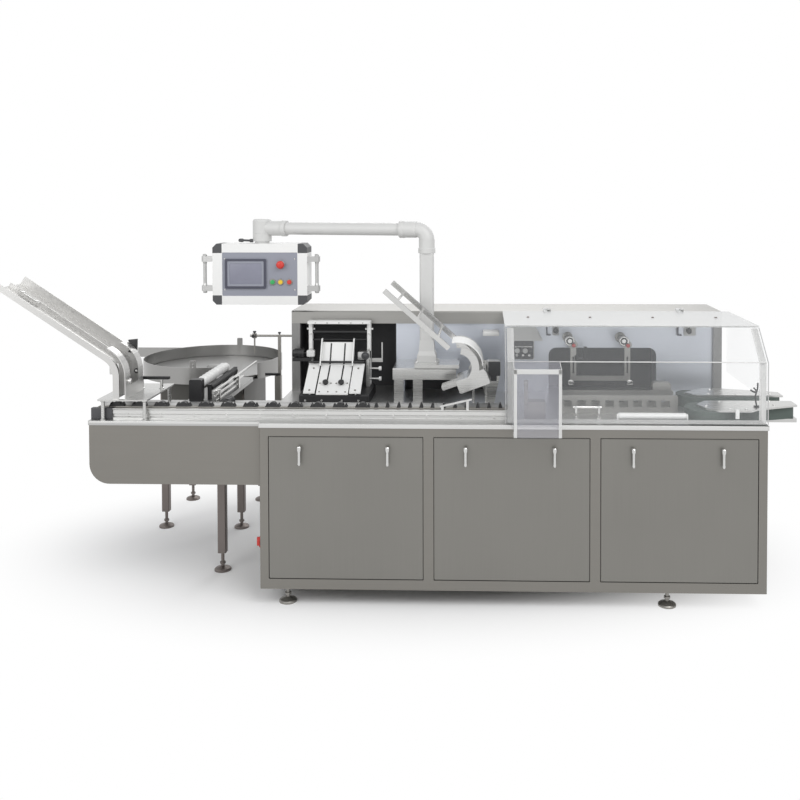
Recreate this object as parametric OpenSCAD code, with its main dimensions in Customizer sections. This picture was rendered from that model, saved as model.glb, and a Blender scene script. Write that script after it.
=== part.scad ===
// Automatic cartoner, standing on level floor, millimetres

/* [Cabinet] */
// Length of the base cabinet
cab_l = 2232; // [2100:2:2400]
// Depth of the base cabinet
cab_d = 1000; // [960:2:1100]
// Height of the cabinet body
cab_h = 720; // [600:2:800]
// Height of the levelling feet
foot_h = 80; // [60:1:120]
// Thickness of the deck plate
deck_t = 20; // [12:1:26]
// Width of the cabinet frame beside the doors
border = 42; // [25:1:70]
// Width of the frame between two doors
mullion = 50; // [30:1:80]
// Thickness of a door panel
door_t = 18; // [10:1:30]
// Gap around a door panel
reveal = 3; // [1:0.5:5]
// Height of a door handle
handle_h = 84; // [60:1:120]
// Diameter of a foot pad
pad_d = 80; // [50:1:100]

/* [Infeed] */
// Length of the overhanging infeed box
infeed_l = 775; // [720:1:900]
// Height of the infeed box
infeed_h = 265; // [180:1:400]
// Depth of the infeed box
infeed_d = 420; // [400:1:440]
// Radius of the lower corner of the infeed box
corner_r = 90; // [20:1:150]
// Height of the conveyor beam
beam_h = 49; // [44:1:60]
// Distance between two small lugs
lug_pitch = 50.8; // [44:0.1:60]
// Height of a lug over the chain
lug_h = 22; // [14:1:26]

/* [Chute] */
// Slope of the product chute in degrees
chute_a = 33.4; // [25:0.1:45]
// Length of the sloping part
chute_l = 582; // [400:1:650]
// Width of the chute
chute_w = 220; // [180:1:240]
// Bend radius of the chute floor
chute_r = 90; // [60:1:110]
// Height of the chute walls
chute_wall = 28; // [15:1:40]
// Thickness of the chute sheet
sheet_t = 3; // [2:0.5:4]

/* [Turntable] */
// Outer radius of the guard wall
wall_r = 385; // [375:1:400]
// Height of the guard wall over the pan
wall_h = 85; // [60:1:110]
// Radius of the turning disc
disc_r = 372; // [360:1:373]
// Width of the leg tubes
leg_w = 40; // [30:1:50]
// Radius of the timing screw
screw_r = 26; // [20:1:28]
// Turns of the timing screw
screw_turns = 9; // [5:1:11]

/* [Housing] */
// Height of the rear housing over the deck
house_h = 415; // [400:1:430]
// Depth of the rear housing
house_d = 328; // [320:1:335]
// Height of the lintel
lintel_h = 64; // [40:1:80]
// Width of the end posts
house_post = 43; // [30:1:50]
// Width of the open leaflet bay
bay_w = 495; // [480:1:505]

/* [Leaflet folder] */
// Width of the folder
folder_w = 318; // [300:1:340]
// Height of the folder columns
folder_h = 322; // [300:1:330]
// Slope of the lower plate in degrees
folder_a = 34.8; // [30:0.1:38]

/* [Carton magazine] */
// Slope of the magazine rails in degrees
mag_a = 41.7; // [38:0.1:45]
// Length of the magazine rails
mag_l = 500; // [460:1:540]
// Width over the magazine rails
mag_w = 212; // [190:1:220]

/* [Control panel] */
// Length of the support arm from post to panel
arm_l = 885; // [800:1:950]
// Radius of the arm tube
arm_r = 31.5; // [25:0.5:34]
// Yaw of the parked arm to the rear in degrees
arm_yaw = 13; // [0:1:20]
// Side of the post tube
post_w = 68; // [60:1:75]
// Height of the post seam over the floor
elbow_z = 1544; // [1540:1:1580]
// Width of the panel box
panel_w = 486; // [440:1:520]
// Height of the panel box
panel_h = 312; // [280:1:314]
// Depth of the panel box
panel_d = 120; // [90:1:140]

/* [Hood] */
// Length of the hood
hood_l = 1143; // [1100:1:1150]
// Thickness of the clear sheet
clear_t = 8; // [5:0.5:10]
// Setback of the hood top from the front
hood_set = 144; // [100:1:180]
// Height of the knee over the deck
knee_h = 278; // [240:1:300]
// Depth of the clear front guard
guard_d = 100; // [70:1:120]
// Width of the clear front guard
guard_w = 204; // [160:1:230]

/* [Discharge] */
// Height of the discharge belts
belt_h = 54; // [46:1:60]
// Overhang of the discharge beyond the cabinet
out_l = 170; // [150:1:240]

/* [Hidden] */
$fn = 48;
steel = [0.62, 0.61, 0.58];
bright = [0.78, 0.78, 0.77];
pale = [0.86, 0.86, 0.83];
white = [0.95, 0.95, 0.93];
dark = [0.2, 0.2, 0.21];
black = [0.06, 0.06, 0.06];
green = [0.12, 0.2, 0.16];
clear = [0.8, 0.88, 0.9, 0.35];
red = [0.75, 0.08, 0.06];
grey = [0.6, 0.64, 0.68];
// Common edges, plates and running fits
edge_r = 6;
corner_s = 8;
plate_t = 6;
lip = 3;
fit = 0.05;
gap = 0.3;
fit_gap = 4;
stem_h = 88;
// Cabinet and doors
x0 = -969;
x1 = x0 + cab_l;
deck_z = foot_h + cab_h;
top_z = deck_z + deck_t;
door_w = (cab_l - 2 * border - 2 * mullion) / 3;
door_z = foot_h + border + edge_r;
door_h = cab_h - 2 * border - edge_r + 2;
door_r = 4;
fold_t = 2;
feet_x = [x0 + 112, x1 - 423];
feet_y = [60, cab_d - 60];
handle_left = 139;
handle_right = 154;
handle_drop = 37;
handle_out = 20;
handle_pin = 6;
handle_r = 10;
switch_up = 190;
switch_w = 60;
switch_grip = 27;
// Infeed box and lug conveyor
in_y = 30;
in_x = x0 - infeed_l;
in_y1 = in_y + infeed_d;
beam_x = in_x + 2;
beam_end = 150;
beam_y = 60;
beam_t = 12;
beam_lip = 4;
bed_y = 200;
bed_y0 = 112;
bed_y1 = 178;
chain_y = 78;
chain_w = 28;
chain_t = 10;
chain_gap = 4;
chain_z = top_z + beam_h + 5;
lug_from = -470;
lug_b = 9;
lug_w = 34;
// Chute
tray_y = 30;
base_z = top_z + 96;
base_t = 6;
base_in = 40;
base_lip = 10;
base_l = 229;
base_w = 364;
strap_up = 52;
strap_t = 4;
strap_w = 56;
chute_cx = in_x + 20;
chute_cz = base_z + 99;
chute_nx = sin(chute_a);
chute_nz = cos(chute_a);
tip_x = chute_cx + chute_r * chute_nx - chute_l * cos(chute_a);
tip_z = chute_cz + chute_r * chute_nz + chute_l * sin(chute_a);
// Turntable and lane
tt_x = x0 - 559;
tt_y = 1200;
pan_z = top_z + 1;
pan_h = 80;
pan_w = 460;
pan_t = 4;
shaft_r = 20;
disc_t = 12;
disc_z = pan_z + pan_t + corner_s;
wing_l = 160;
tab_w = 32;
lane_x = x0 - 336;
lane_z = pan_z + pan_t;
lane_t = 20;
lane_top = lane_z + lane_t;
lane_w = 176;
lane_in = 7;
lane_l = 702;
gap_w = 186;
rail_r = 6;
rail_up = 57;
screw_x = lane_x - 45;
screw_y = bed_y + 154;
screw_l = 450;
screw_z = lane_top + 76;
core_r = screw_r * 0.68;
journal_l = 20;
journal_r = 8;
guide_x = lane_x + 8;
guide_z = lane_top + 56;
rib_r = 17;
rib_pitch = 20;
drive_w = 60;
drive_h = 105;
motor_r = 30;
gate_in = 150;
gate_x = 99;
gate_w = 16;
gate_z = top_z + 28;
gate_drop = 156;
gate_reach = 158;
// Rear housing
house_in = 5;
house_y = cab_d - house_d;
house_x = x0 + house_in;
house_x1 = x1 - 29;
house_z = top_z + house_h;
lintel_t = 20;
roof_t = 6;
panel_y = house_y + 18;
bay_x = house_x + house_post + bay_w;
bay_d = 130;
lining_t = 4;
// Leaflet folder
fold_x = house_x + 97;
fold_y = house_y - 300;
fold_d = 280;
fold_base = 46;
column_w = 20;
column_d = 30;
cover_out = 28;
cover_t = 10;
ramp_d = 160;
ramp_in = 20;
upper_d = 54;
upper_h = 105;
groove_w = 9;
bracket_w = 60;
// Control panel and arm
post_x = x0 + 714;
post_y = 490;
shelf_z = top_z + 165;
shelf_h = 55;
shelf_l = 310;
riser_h = 18;
shelf_in = 60;
flange_t = 10;
post_z = shelf_z + riser_h + flange_t;
cast_h = 105;
cast_w = 12;
pin_h = 30;
pin_r = 20;
panel_pin = 15;
elbow_r = 37;
socket_l = 90;
arm_z = elbow_z + 116;
pan_x = post_x - arm_l * cos(arm_yaw);
pan_y = post_y + arm_l * sin(arm_yaw);
panel_top = arm_z - 77;
corner_w = 48;
corner_c = 20;
face_w = 386;
face_h = 222;
face_z = 45;
face_in = 5;
bezel_in = 17;
bezel_up = 39;
bezel_w = 209;
bezel_h = 150;
bezel_t = 22;
stop_x = 109;
stop_z = 205;
stop_r = 20;
button_x = [66, 107, 152];
button_z = 116;
button_r = 14;
grip_out = 46;
grip_y = 35;
grip_z = 58;
grip_l = 200;
grip_r = 11;
bracket_h = 28;
// Hood
hood_x = x1 - hood_l;
hood_z = top_z + 5;
hood_gap = 8;
hood_top_z = house_z + 3;
knee_z = top_z + knee_h;
hinge_y = house_y - 4;
hinge_z = house_z + 12;
hinge_x = [hood_x + 226, x1 - 245];
hinge_w = 19;
hinge_r = 7;
hinge_pin = 3;
leaf_l = 60;
leaf_t = 6;
strip_w = 50;
notch_in = 180;
notch_out = 110;
notch_r = 30;
rail_h = 16;
band_w = 20;
band_t = 4;
guard_in = 34;
guard_t = 5;
guard_drop = 12;
guard_slope = 16;
// Carton magazine, tied to the hood's left end
mag_y = 200;
mag_x = hood_x - 172;
mag_z = top_z + 246;
mag_drop = 46;
rail_w = 12;
rod_up = -2;
rod_r = 6;
throat_x = mag_x - 43;
throat_z = mag_z - 36;
throat_r = 118;
head_x = mag_x - 33;
head_x1 = mag_x + 157;
head_z = top_z + 85;
head_a = 20;
head_w = 150;
head_h = 62;
// Carton line and discharge
window_x = hood_x + 237;
window_w = hood_l - 594;
window_h = 227;
window_r = 40;
window_d = 120;
slot_h = 70;
slot_d = 60;
pickup_in = 42;
pickup_w = 160;
pickup_h = 76;
pickup_d = 90;
gantry_out = 130;
boss_x = 333;
boss_z = 282;
boss_r = 26;
boss_pitch = 268;
link_dx = 18;
link_dz = 20;
arm_w = 24;
arm_t = 16;
bar_z = 95;
lane_x0 = hood_x + 260;
lane_y = [218, 327];
lane_wall = 10;
rail_top = 85;
rail_gap = 10;
window_p = 64;
roller_l = 300;
roller_r = 15;
roller_y = 46;
drive_in = 70;
out_x = x1 + out_l;
belt_in = 335;
drum_r = 100;
end_r = 45;
cover_h = 8;
front_drum = [x1 - belt_in + drum_r, lane_y[0] + corner_s - drum_r];
front_end = [out_x - end_r - house_in, lane_y[0] + corner_s - end_r];
rear_drum = [x1 - belt_in + drum_r, lane_y[1] + lip + drum_r * 0.8];
rear_end = [out_x - end_r - house_in, lane_y[1] + lip + end_r];
front_cover = [[x1 - 278, 150], [x1 - 223, 222], [out_x, 222], [out_x, 138], [x1 - 26, 60], [x1 - 63, 24],
  [x1 - 203, 24], [x1 - 253, 70]];
rear_cover = [[x1 - 278, 400], [x1 - 233, 334], [out_x, 334], [out_x, 412], [x1 - 13, 470], [x1 - 83, 490],
  [x1 - 183, 490]];
origin_x = (tip_x + out_x) / 2;
origin_y = (tt_y + wall_r - guard_d) / 2;

// Outlines
function arc(cx, cy, r, a0, a1, n) =
  [for (i = [0:n]) [cx + r * cos(a0 + (a1 - a0) * i / n), cy + r * sin(a0 + (a1 - a0) * i / n)]];
function rounded(x, y, w, h, r) = concat(
  arc(x + w - r, y + r, r, -90, 0, 6), arc(x + w - r, y + h - r, r, 0, 90, 6),
  arc(x + r, y + h - r, r, 90, 180, 6), arc(x + r, y + r, r, 180, 270, 6));
function flip(p) = [for (i = [len(p) - 1:-1:0]) p[i]];
function turned(p, cx, cy, a, b) = [for (q = p) [cx + a * q[0], cy + b * q[1]]];
function link_side(xa, ya, xb, yb, r) = concat(
  arc(xa, ya, r, atan2(yb - ya, xb - xa) + 90, atan2(yb - ya, xb - xa) + 270, 10),
  arc(xb, yb, r, atan2(yb - ya, xb - xa) - 90, atan2(yb - ya, xb - xa) + 90, 10));
function belt_loop(c, r, e, s) =
  let (f = atan2(e[1] - c[1], e[0] - c[0]), a = acos((r - s) / norm(e - c)))
  concat(arc(c[0], c[1], r, f + a, f - a + 360, 20), arc(e[0], e[1], s, f - a, f + a, 14));
function door_x(i) = x0 + border + i * (door_w + mullion);
function door_outline(i, o) =
  rounded(door_x(i) - o, door_z - o, door_w + 2 * o, door_h + 2 * o, door_r);
function chute_line(o) = concat(
  [[tip_x + o * chute_nx, tip_z + o * chute_nz]],
  arc(chute_cx, chute_cz, chute_r + o, 90 - chute_a, 0, 10),
  [[chute_cx + chute_r + o, base_z]]);
function strap_line(o) = concat(
  arc(chute_cx, chute_cz, chute_r + o, 64, 0, 10),
  [[chute_cx + chute_r + o, base_z]]);
function lug_side(x) = [[x - lug_b, chain_z], [x + lug_b, chain_z],
  [x + lug_b / 4, chain_z + lug_h], [x - lug_b / 4, chain_z + lug_h]];
function saddle_side(x) = concat(
  [[x - lug_w, chain_z], [x + lug_w, chain_z], [x + lug_w * 0.76, chain_z + lug_h * 0.75],
  [x + lug_w * 0.6, chain_z + lug_h * 0.3]],
  arc(x, chain_z + lug_h * 0.2, lug_h * 0.8, 10, 170, 8),
  [[x - lug_w * 0.6, chain_z + lug_h * 0.3], [x - lug_w * 0.76, chain_z + lug_h * 0.75]]);
function cast_side(s) = [[-s - cast_w, post_z], [s + cast_w, post_z], [s + cast_w, post_z + cast_h * 0.3],
  [s + cast_w / 3, post_z + cast_h * 0.5], [s, post_z + cast_h], [-s, post_z + cast_h],
  [-s - cast_w / 3, post_z + cast_h * 0.5], [-s - cast_w, post_z + cast_h * 0.3]];
function corner_side(hx, hz) = [[hx - corner_w, hz - corner_w], [hx, hz - corner_w], [hx, hz - corner_c],
  [hx - corner_c, hz], [hx - corner_w, hz]];
function corner_cut(hx, hz) = [[hx - corner_w, hz - corner_w], [hx + 1, hz - corner_w], [hx + 1, hz + 1],
  [hx - corner_w, hz + 1]];

// Half sections of turned pieces, radius first and then height
function handle_side(h, r) = [[0, 0], [r * 0.6, 0], [r * 0.8, r * 0.5], [r * 0.65, r * 1.6],
  [r * 0.65, h - r * 2.8], [r * 0.9, h - r * 2], [r, h - r * 1.6], [r, h - r * 0.3], [r * 0.8, h], [0, h]];
function knob_side(r, h) = [[0, 0], [r * 0.6, 0], [r * 0.6, h * 0.3], [r, h * 0.45], [r, h * 0.85],
  [r * 0.8, h], [0, h]];
function post_side(h, r) = [[0, 0], [r * 1.5, 0], [r * 1.5, r * 0.6], [r, r], [r, h - r],
  [r * 1.5, h - r * 0.6], [r * 1.5, h], [0, h]];
function rib_side(z) = [[rib_r * 0.7, z], [rib_r, z + rib_pitch / 4], [rib_r, z + rib_pitch / 2],
  [rib_r * 0.7, z + rib_pitch * 3 / 4]];
function motor_side(l, r) = [[0, 0], [r * 0.7, 0], [r * 0.8, l * 0.05], [r * 0.8, l * 0.2], [r, l * 0.22],
  [r, l * 0.4], [r * 0.94, l * 0.42], [r * 0.94, l * 0.5], [r, l * 0.52], [r, l * 0.7], [r * 0.94,
    l * 0.72],
  [r * 0.94, l * 0.8], [r, l * 0.82], [r, l], [0, l]];
function sleeve_side(h, r) = [[0, 0], [r + 5, 0], [r + 5, h * 0.35], [r + 2, h * 0.42], [r + 2, h + lip],
  [0, h + lip]];
function socket_side(l, r) = [[0, 0], [r + 2, 0], [r + 4, plate_t], [r + 4, l - 2 * plate_t],
  [r + 2, l - plate_t], [r - 2, l], [0, l]];
function head_side(h, r) = [[0, 0], [r, 0], [r, h * 0.34], [r - 1, h * 0.35], [r, h * 0.36], [r, h - 12],
  [r - 4, h - 2], [r - 8, h], [r - 12, h], [r - 15, h - 5], [0, h - 5]];
function stop_side(r) = [[0, 0], [r * 0.6, 0], [r * 0.6, r * 0.6], [r * 0.7, r * 0.7], [r, r * 0.9],
  [r, r * 1.3], [r * 0.8, r * 1.5], [r * 0.4, r * 1.6], [0, r * 1.62]];
function button_side(r) = [[0, 0], [r, 0], [r, r * 0.2], [r * 0.8, r * 0.35], [r * 0.8, r * 0.8],
  [r * 0.6, r * 0.9], [0, r * 0.9]];
function grip_side(l, r) = [[0, 0], [r * 0.7, 0], [r, r * 0.3], [r, l * 0.2], [r * 0.8, l * 0.26],
  [r * 0.8, l * 0.74], [r, l * 0.8], [r, l - r * 0.3], [r * 0.7, l], [0, l]];
function boss_side(l, r) = [[0, 0], [r, 0], [r, r * 0.3], [r * 0.75, r * 0.45], [r * 0.55, r * 0.45],
  [r * 0.45, r * 0.7], [r * 0.45, l], [0, l]];
function roller_side(l, r) = [[0, 0], [r * 0.8, 0], [r, r * 0.25], [r, l - r * 0.25], [r * 0.8, l], [0, l]];

module place() {
  translate([-origin_x, -origin_y, 0]) children();
}
module box(x, y, z, l, d, h) {
  translate([x, y, z]) cube([l, d, h]);
}
module along_x(x, l) {
  translate([x, 0, 0]) rotate([90, 0, 90]) linear_extrude(l) children();
}
module along_y(y, l) {
  translate([0, y + l, 0]) rotate([90, 0, 0]) linear_extrude(l) children();
}
module rod_x(x, y, z, l, r) {
  translate([x, y, z]) rotate([0, 90, 0]) cylinder(h = l, r = r);
}
module rod_y(x, y, z, l, r) {
  translate([x, y + l, z]) rotate([90, 0, 0]) cylinder(h = l, r = r);
}
module rod_z(x, y, z, l, r) {
  translate([x, y, z]) cylinder(h = l, r = r);
}
module foot(x, y, h) {
  r = pad_d / 2;
  translate([x, y, 0]) union() {
    rotate_extrude() polygon([[0, 0], [r, 0], [r, r * 0.18], [r * 0.9, r * 0.28], [r * 0.38, r * 0.48],
      [r * 0.2, r * 0.55], [r * 0.2, h], [0, h]]);
    translate([0, 0, r * 0.8]) cylinder(h = r / 4, r = r * 0.36, $fn = 6);
  }
}

// Base cabinet
module cabinet() {
  color(steel) difference() {
    translate([0, 0, foot_h]) linear_extrude(cab_h) polygon(rounded(x0, 0, cab_l, cab_d, edge_r));
    for (i = [0:2]) {
      for (y = [-1, cab_d - door_t]) {
        along_y(y, door_t + 1) polygon(door_outline(i, reveal));
      }
    }
  }
}
module leaf(i, y, face_y) {
  along_y(y, door_t - fold_t) polygon(door_outline(i, 0));
  along_y(face_y, fold_t) polygon(door_outline(i, -fold_t));
}
module front_doors() {
  color(steel) for (i = [0:2]) {
    leaf(i, fold_t, 0);
  }
}
module rear_doors() {
  color(steel) for (i = [0:2]) {
    leaf(i, cab_d - door_t, cab_d - fold_t);
  }
}
module pull(x, y, s) {
  z = door_z + door_h - handle_drop - handle_h;
  bar_y = y + s * handle_out;
  translate([x, bar_y, z]) rotate_extrude() polygon(handle_side(handle_h, handle_r));
  for (h = [handle_pin * 2, handle_h - handle_pin * 2]) {
    rod_y(x, min(y, bar_y), z + h, handle_out, handle_pin);
  }
}
module door_handles() {
  color(bright) for (i = [0:2]) {
    for (x = [door_x(i) + handle_left, door_x(i) + door_w - handle_right]) {
      pull(x, 0, -1);
      pull(x, cab_d, 1);
    }
  }
}
module machine_feet() {
  color(dark) for (x = feet_x) {
    for (y = feet_y) {
      foot(x, y, foot_h);
    }
  }
}
module main_switch() {
  z = foot_h + switch_up;
  y = feet_y[0];
  color(red) union() {
    along_x(x0 - plate_t, plate_t)
      polygon(rounded(y - switch_w / 2, z - switch_w / 2, switch_w, switch_w, plate_t));
    translate([x0 - plate_t, y, z]) rotate([0, -90, 0]) rotate_extrude()
      polygon(knob_side(switch_w * 0.45, corner_s));
    along_x(x0 - switch_grip, switch_grip - plate_t)
      polygon(rounded(y - plate_t, z - switch_w / 3, 2 * plate_t, switch_w * 2 / 3, plate_t - 1));
  }
}
module deck() {
  color(bright) translate([0, 0, deck_z]) linear_extrude(deck_t) polygon([
    [in_x - lip, in_y - lip], [x0 - lip, in_y - lip], [x0 - lip, -lip], [x1 + lip, -lip],
    [x1 + lip, cab_d + lip], [x0 - lip, cab_d + lip], [x0 - lip, in_y1 + lip], [in_x - lip, in_y1 + lip]]);
}

// Infeed overhang and lug conveyor
module infeed_box() {
  z = deck_z - infeed_h;
  color(steel) along_y(in_y, infeed_d)
    polygon(concat([[x0, z], [x0, deck_z], [in_x, deck_z]],
      arc(in_x + corner_r, z + corner_r, corner_r, 180, 270, 12)));
}
module leg(x, y, top) {
  translate([0, 0, stem_h]) linear_extrude(top - stem_h)
    polygon(rounded(x - leg_w / 2, y - leg_w / 2, leg_w, leg_w, leg_w / 8));
  foot(x, y, stem_h);
}
module infeed_leg() {
  color(steel) leg(x0 - infeed_l * 0.363, in_y1 - pad_d * 0.7, deck_z - infeed_h);
}
module conveyor_beam() {
  z = top_z;
  y = beam_y;
  color(bright) along_x(beam_x, beam_end - beam_x) polygon([
    [y, z], [y + beam_t, z], [y + beam_t, z + beam_h], [y - beam_lip, z + beam_h],
    [y - beam_lip, z + beam_h - beam_lip], [y, z + beam_h - 2 * beam_lip], [y, z + beam_h / 2],
    [y + beam_lip, z + beam_h / 2 - beam_lip], [y + beam_lip, z + beam_lip * 3], [y, z + beam_lip * 2]]);
}
module conveyor_bed() {
  z = chain_z - chain_gap;
  bar_z = top_z + chain_gap + 2 * chain_t;
  color(steel) union() {
    along_x(beam_x + 3 * chain_t, beam_end - beam_x - 6 * chain_t) polygon([
      [bed_y0, top_z], [bed_y0 + sheet_t, top_z], [bed_y0 + sheet_t, z - sheet_t],
      [bed_y1 - sheet_t, z - sheet_t], [bed_y1 - sheet_t, top_z], [bed_y1, top_z], [bed_y1, z], [bed_y0,
        z]]);
    along_x(beam_x, beam_end - beam_x) polygon([
      [bed_y - beam_t, top_z], [bed_y, top_z], [bed_y, top_z + beam_h / 3],
      [bed_y - beam_lip, top_z + beam_h / 2], [bed_y, top_z + beam_h * 2 / 3], [bed_y, top_z + beam_h],
      [bed_y - beam_t, top_z + beam_h]]);
    for (x = [beam_x + 12 * chain_t, beam_end - 16 * chain_t]) {
      box(x, bed_y1, bar_z, leg_w, bed_y - beam_t - bed_y1, chain_z - chain_t - bar_z);
      box(x, beam_y + beam_t, bar_z, leg_w, bed_y0 - beam_y - beam_t, chain_z - chain_t - bar_z);
    }
  }
}
module lug_chain() {
  z = top_z + chain_gap;
  h = chain_z - z;
  l = beam_end - beam_x - chain_gap * 2;
  color(dark) along_y(chain_y, chain_w) difference() {
    polygon(rounded(beam_x + chain_gap, z, l, h, h / 2 - 1));
    polygon(rounded(beam_x + chain_gap + chain_t, z + chain_t, l - 2 * chain_t, h - 2 * chain_t,
      h / 2 - chain_t - 1));
  }
}
module chain_lugs() {
  n = floor((beam_end - lug_from - lug_pitch) / lug_pitch);
  m = floor((lug_from - beam_x) / (2 * lug_pitch)) - 1;
  color(black) union() {
    for (i = [0:n]) {
      along_y(chain_y, chain_w) polygon(lug_side(beam_end - lug_pitch - i * lug_pitch));
    }
    for (i = [0:m]) {
      along_y(chain_y, chain_w) polygon(saddle_side(lug_from - (2 * i + 1) * lug_pitch));
    }
  }
}

// Product chute at the infeed end
module chute_tray() {
  color(bright) union() {
    along_y(tray_y, chute_w) polygon(concat(chute_line(0), flip(chute_line(sheet_t))));
    for (p = [[0, chute_wall], [chute_w / 2, chute_wall - 2 * sheet_t], [chute_w - sheet_t,
      chute_wall * 1.6]]) {
      along_y(tray_y + p[0], sheet_t) polygon(concat(chute_line(0), flip(chute_line(p[1]))));
    }
  }
}
module chute_guides() {
  x = chute_cx + chute_r + strap_up;
  color(bright) union() {
    for (y = [tray_y + strap_t, tray_y + chute_w - strap_w - strap_t]) {
      along_y(y, strap_w) polygon(concat(strap_line(strap_up), flip(strap_line(strap_up + strap_t))));
    }
    along_x(x, strap_t)
      polygon(rounded(tray_y + strap_t, base_z, chute_w - 2 * strap_t, strap_w, strap_t));
    translate([x + strap_t, tray_y + strap_w / 2, base_z + strap_w * 1.4]) rotate([0, 90,
      0]) rotate_extrude()
      polygon(knob_side(strap_w / 5, strap_w / 3));
  }
}
module chute_base() {
  color(bright) difference() {
    union() {
      translate([0, 0, base_z - base_t]) linear_extrude(base_t)
        polygon(rounded(in_x + base_in, tray_y - base_lip, base_l, base_w, base_lip));
      for (x = [in_x + base_in + 2 * base_lip, in_x + base_in + base_l - 2 * base_lip]) {
        for (y = [tray_y + base_lip, tray_y + base_w - 3 * base_lip]) {
          translate([x, y, top_z]) rotate_extrude() polygon(post_side(base_z - base_t - top_z, corner_s));
        }
      }
    }
    translate([0, 0, base_z - base_t - 1]) linear_extrude(base_t + 2)
      polygon(rounded(chute_cx + chute_r + sheet_t + 1, tray_y + strap_t, strap_up - strap_t,
        chute_w - 2 * strap_t, strap_t));
  }
}

// Turntable and its lane
module turntable_legs() {
  color(steel) for (x = [tt_x - pan_w * 0.44, tt_x + pan_w * 0.47]) {
    for (y = [tt_y - pan_w / 2, tt_y + pan_w / 2]) {
      leg(x, y, pan_z - pan_h);
    }
  }
}
module turntable_pan() {
  color(steel) difference() {
    union() {
      translate([0, 0, pan_z - pan_h]) linear_extrude(pan_h)
        polygon(rounded(tt_x - pan_w * 0.44 - leg_w / 2,
        tt_y - pan_w / 2 - leg_w / 2, pan_w * 0.91 + leg_w, pan_w + leg_w, leg_w / 2));
      rod_z(tt_x, tt_y, pan_z, pan_t, wall_r);
      difference() {
        rod_z(tt_x, tt_y, pan_z + pan_t, wall_h, wall_r);
        rod_z(tt_x, tt_y, pan_z + pan_t - 1, wall_h + 2, wall_r - pan_t);
        box(lane_x - gap_w / 2 - lane_in, tt_y - wall_r, pan_z + pan_t - 1, gap_w, wall_r, wall_h + 2);
      }
      box(tt_x - wall_r - wing_l, tt_y + wall_r * 0.7, pan_z + pan_t + wall_h / 3,
        wing_l + wall_r * 0.3, pan_t, wall_h * 2 / 3);
      along_y(tt_y - wall_r, 2 * pan_t) difference() {
        polygon(rounded(tt_x - tab_w / 2, pan_z, tab_w, wall_h * 1.5, pan_t));
        for (h = [1.1, 1.3]) {
          translate([tt_x, pan_z + wall_h * h]) circle(r = pan_t);
        }
      }
      along_y(tt_y + wall_r - 2 * pan_t, 2 * pan_t)
        polygon(rounded(tt_x + tab_w, pan_z, tab_w, wall_h * 1.55, pan_t));
    }
    rod_z(tt_x, tt_y, pan_z - pan_h * 0.75, pan_h, shaft_r + fit);
  }
}
module turntable_disc() {
  color(bright) translate([tt_x, tt_y, 0]) rotate_extrude() polygon([
    [0, pan_z - pan_h * 0.6], [shaft_r, pan_z - pan_h * 0.6], [shaft_r, disc_z], [disc_r, disc_z],
    [disc_r, disc_z + disc_t - 2], [disc_r - 2, disc_z + disc_t], [shaft_r * 2, disc_z + disc_t],
    [shaft_r * 1.6, disc_z + disc_t * 2], [shaft_r * 0.8, disc_z + disc_t * 2.3], [0,
      disc_z + disc_t * 2.3]]);
}
module lane_bridge() {
  color(bright) difference() {
    union() {
      translate([0, 0, lane_z]) linear_extrude(lane_t)
        polygon(rounded(lane_x - lane_w / 2 - lane_in, bed_y + fit_gap, lane_w, lane_l, lane_t / 2));
      box(lane_x - lane_w / 2, bed_y + 3 * fit_gap, top_z, lane_w * 0.7, lane_w * 0.4, lane_z - top_z);
    }
    rod_z(tt_x, tt_y, lane_z - 1, lane_t + 2, wall_r - pan_t - 1);
  }
}
module lane_rails() {
  x = lane_x + lane_w / 2 - lane_in - rail_r;
  y = bed_y + lane_l * 0.07;
  color(bright) union() {
    for (p = [bed_y + lane_l * 0.11, bed_y + lane_l * 0.59]) {
      translate([0, 0, lane_top]) linear_extrude(rail_up + rail_r)
        polygon(rounded(x - rail_r, p, 2 * rail_r, 3 * rail_r, rail_r / 2));
      rod_x(x - 3 * rail_r, p + 1.5 * rail_r, lane_top + rail_up, 3 * rail_r, rail_r * 0.7);
    }
    rod_y(x - 3 * rail_r, y, lane_top + rail_up, lane_l * 1.15, rail_r);
    rod_y(x - 1.5 * rail_r, y, lane_top + rail_up * 0.7, lane_l * 0.7, rail_r);
    rod_y(x - 1.5 * rail_r, y, lane_top + rail_up * 0.25, lane_l * 0.6, rail_r);
  }
}
module timing_screw() {
  color(white) translate([screw_x, screw_y + screw_l, screw_z]) rotate([90, 0, 0]) union() {
    linear_extrude(screw_l, twist = -360 * screw_turns, slices = 8 * screw_turns)
      translate([screw_r - core_r, 0]) circle(r = core_r, $fn = 14);
    translate([0, 0, -journal_l]) cylinder(h = journal_l, r = journal_r);
    translate([0, 0, screw_l]) cylinder(h = journal_l + 4, r = journal_r);
  }
}
module ribbed_guide() {
  n = floor(screw_l / rib_pitch) - 1;
  color(black) translate([guide_x, screw_y + screw_l, guide_z]) rotate([90, 0, 0]) rotate_extrude()
    polygon(concat([[0, 0]], [for (i = [0:n]) each rib_side(i * rib_pitch)], [[0,
      n * rib_pitch + rib_pitch * 3 / 4]]));
}
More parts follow.
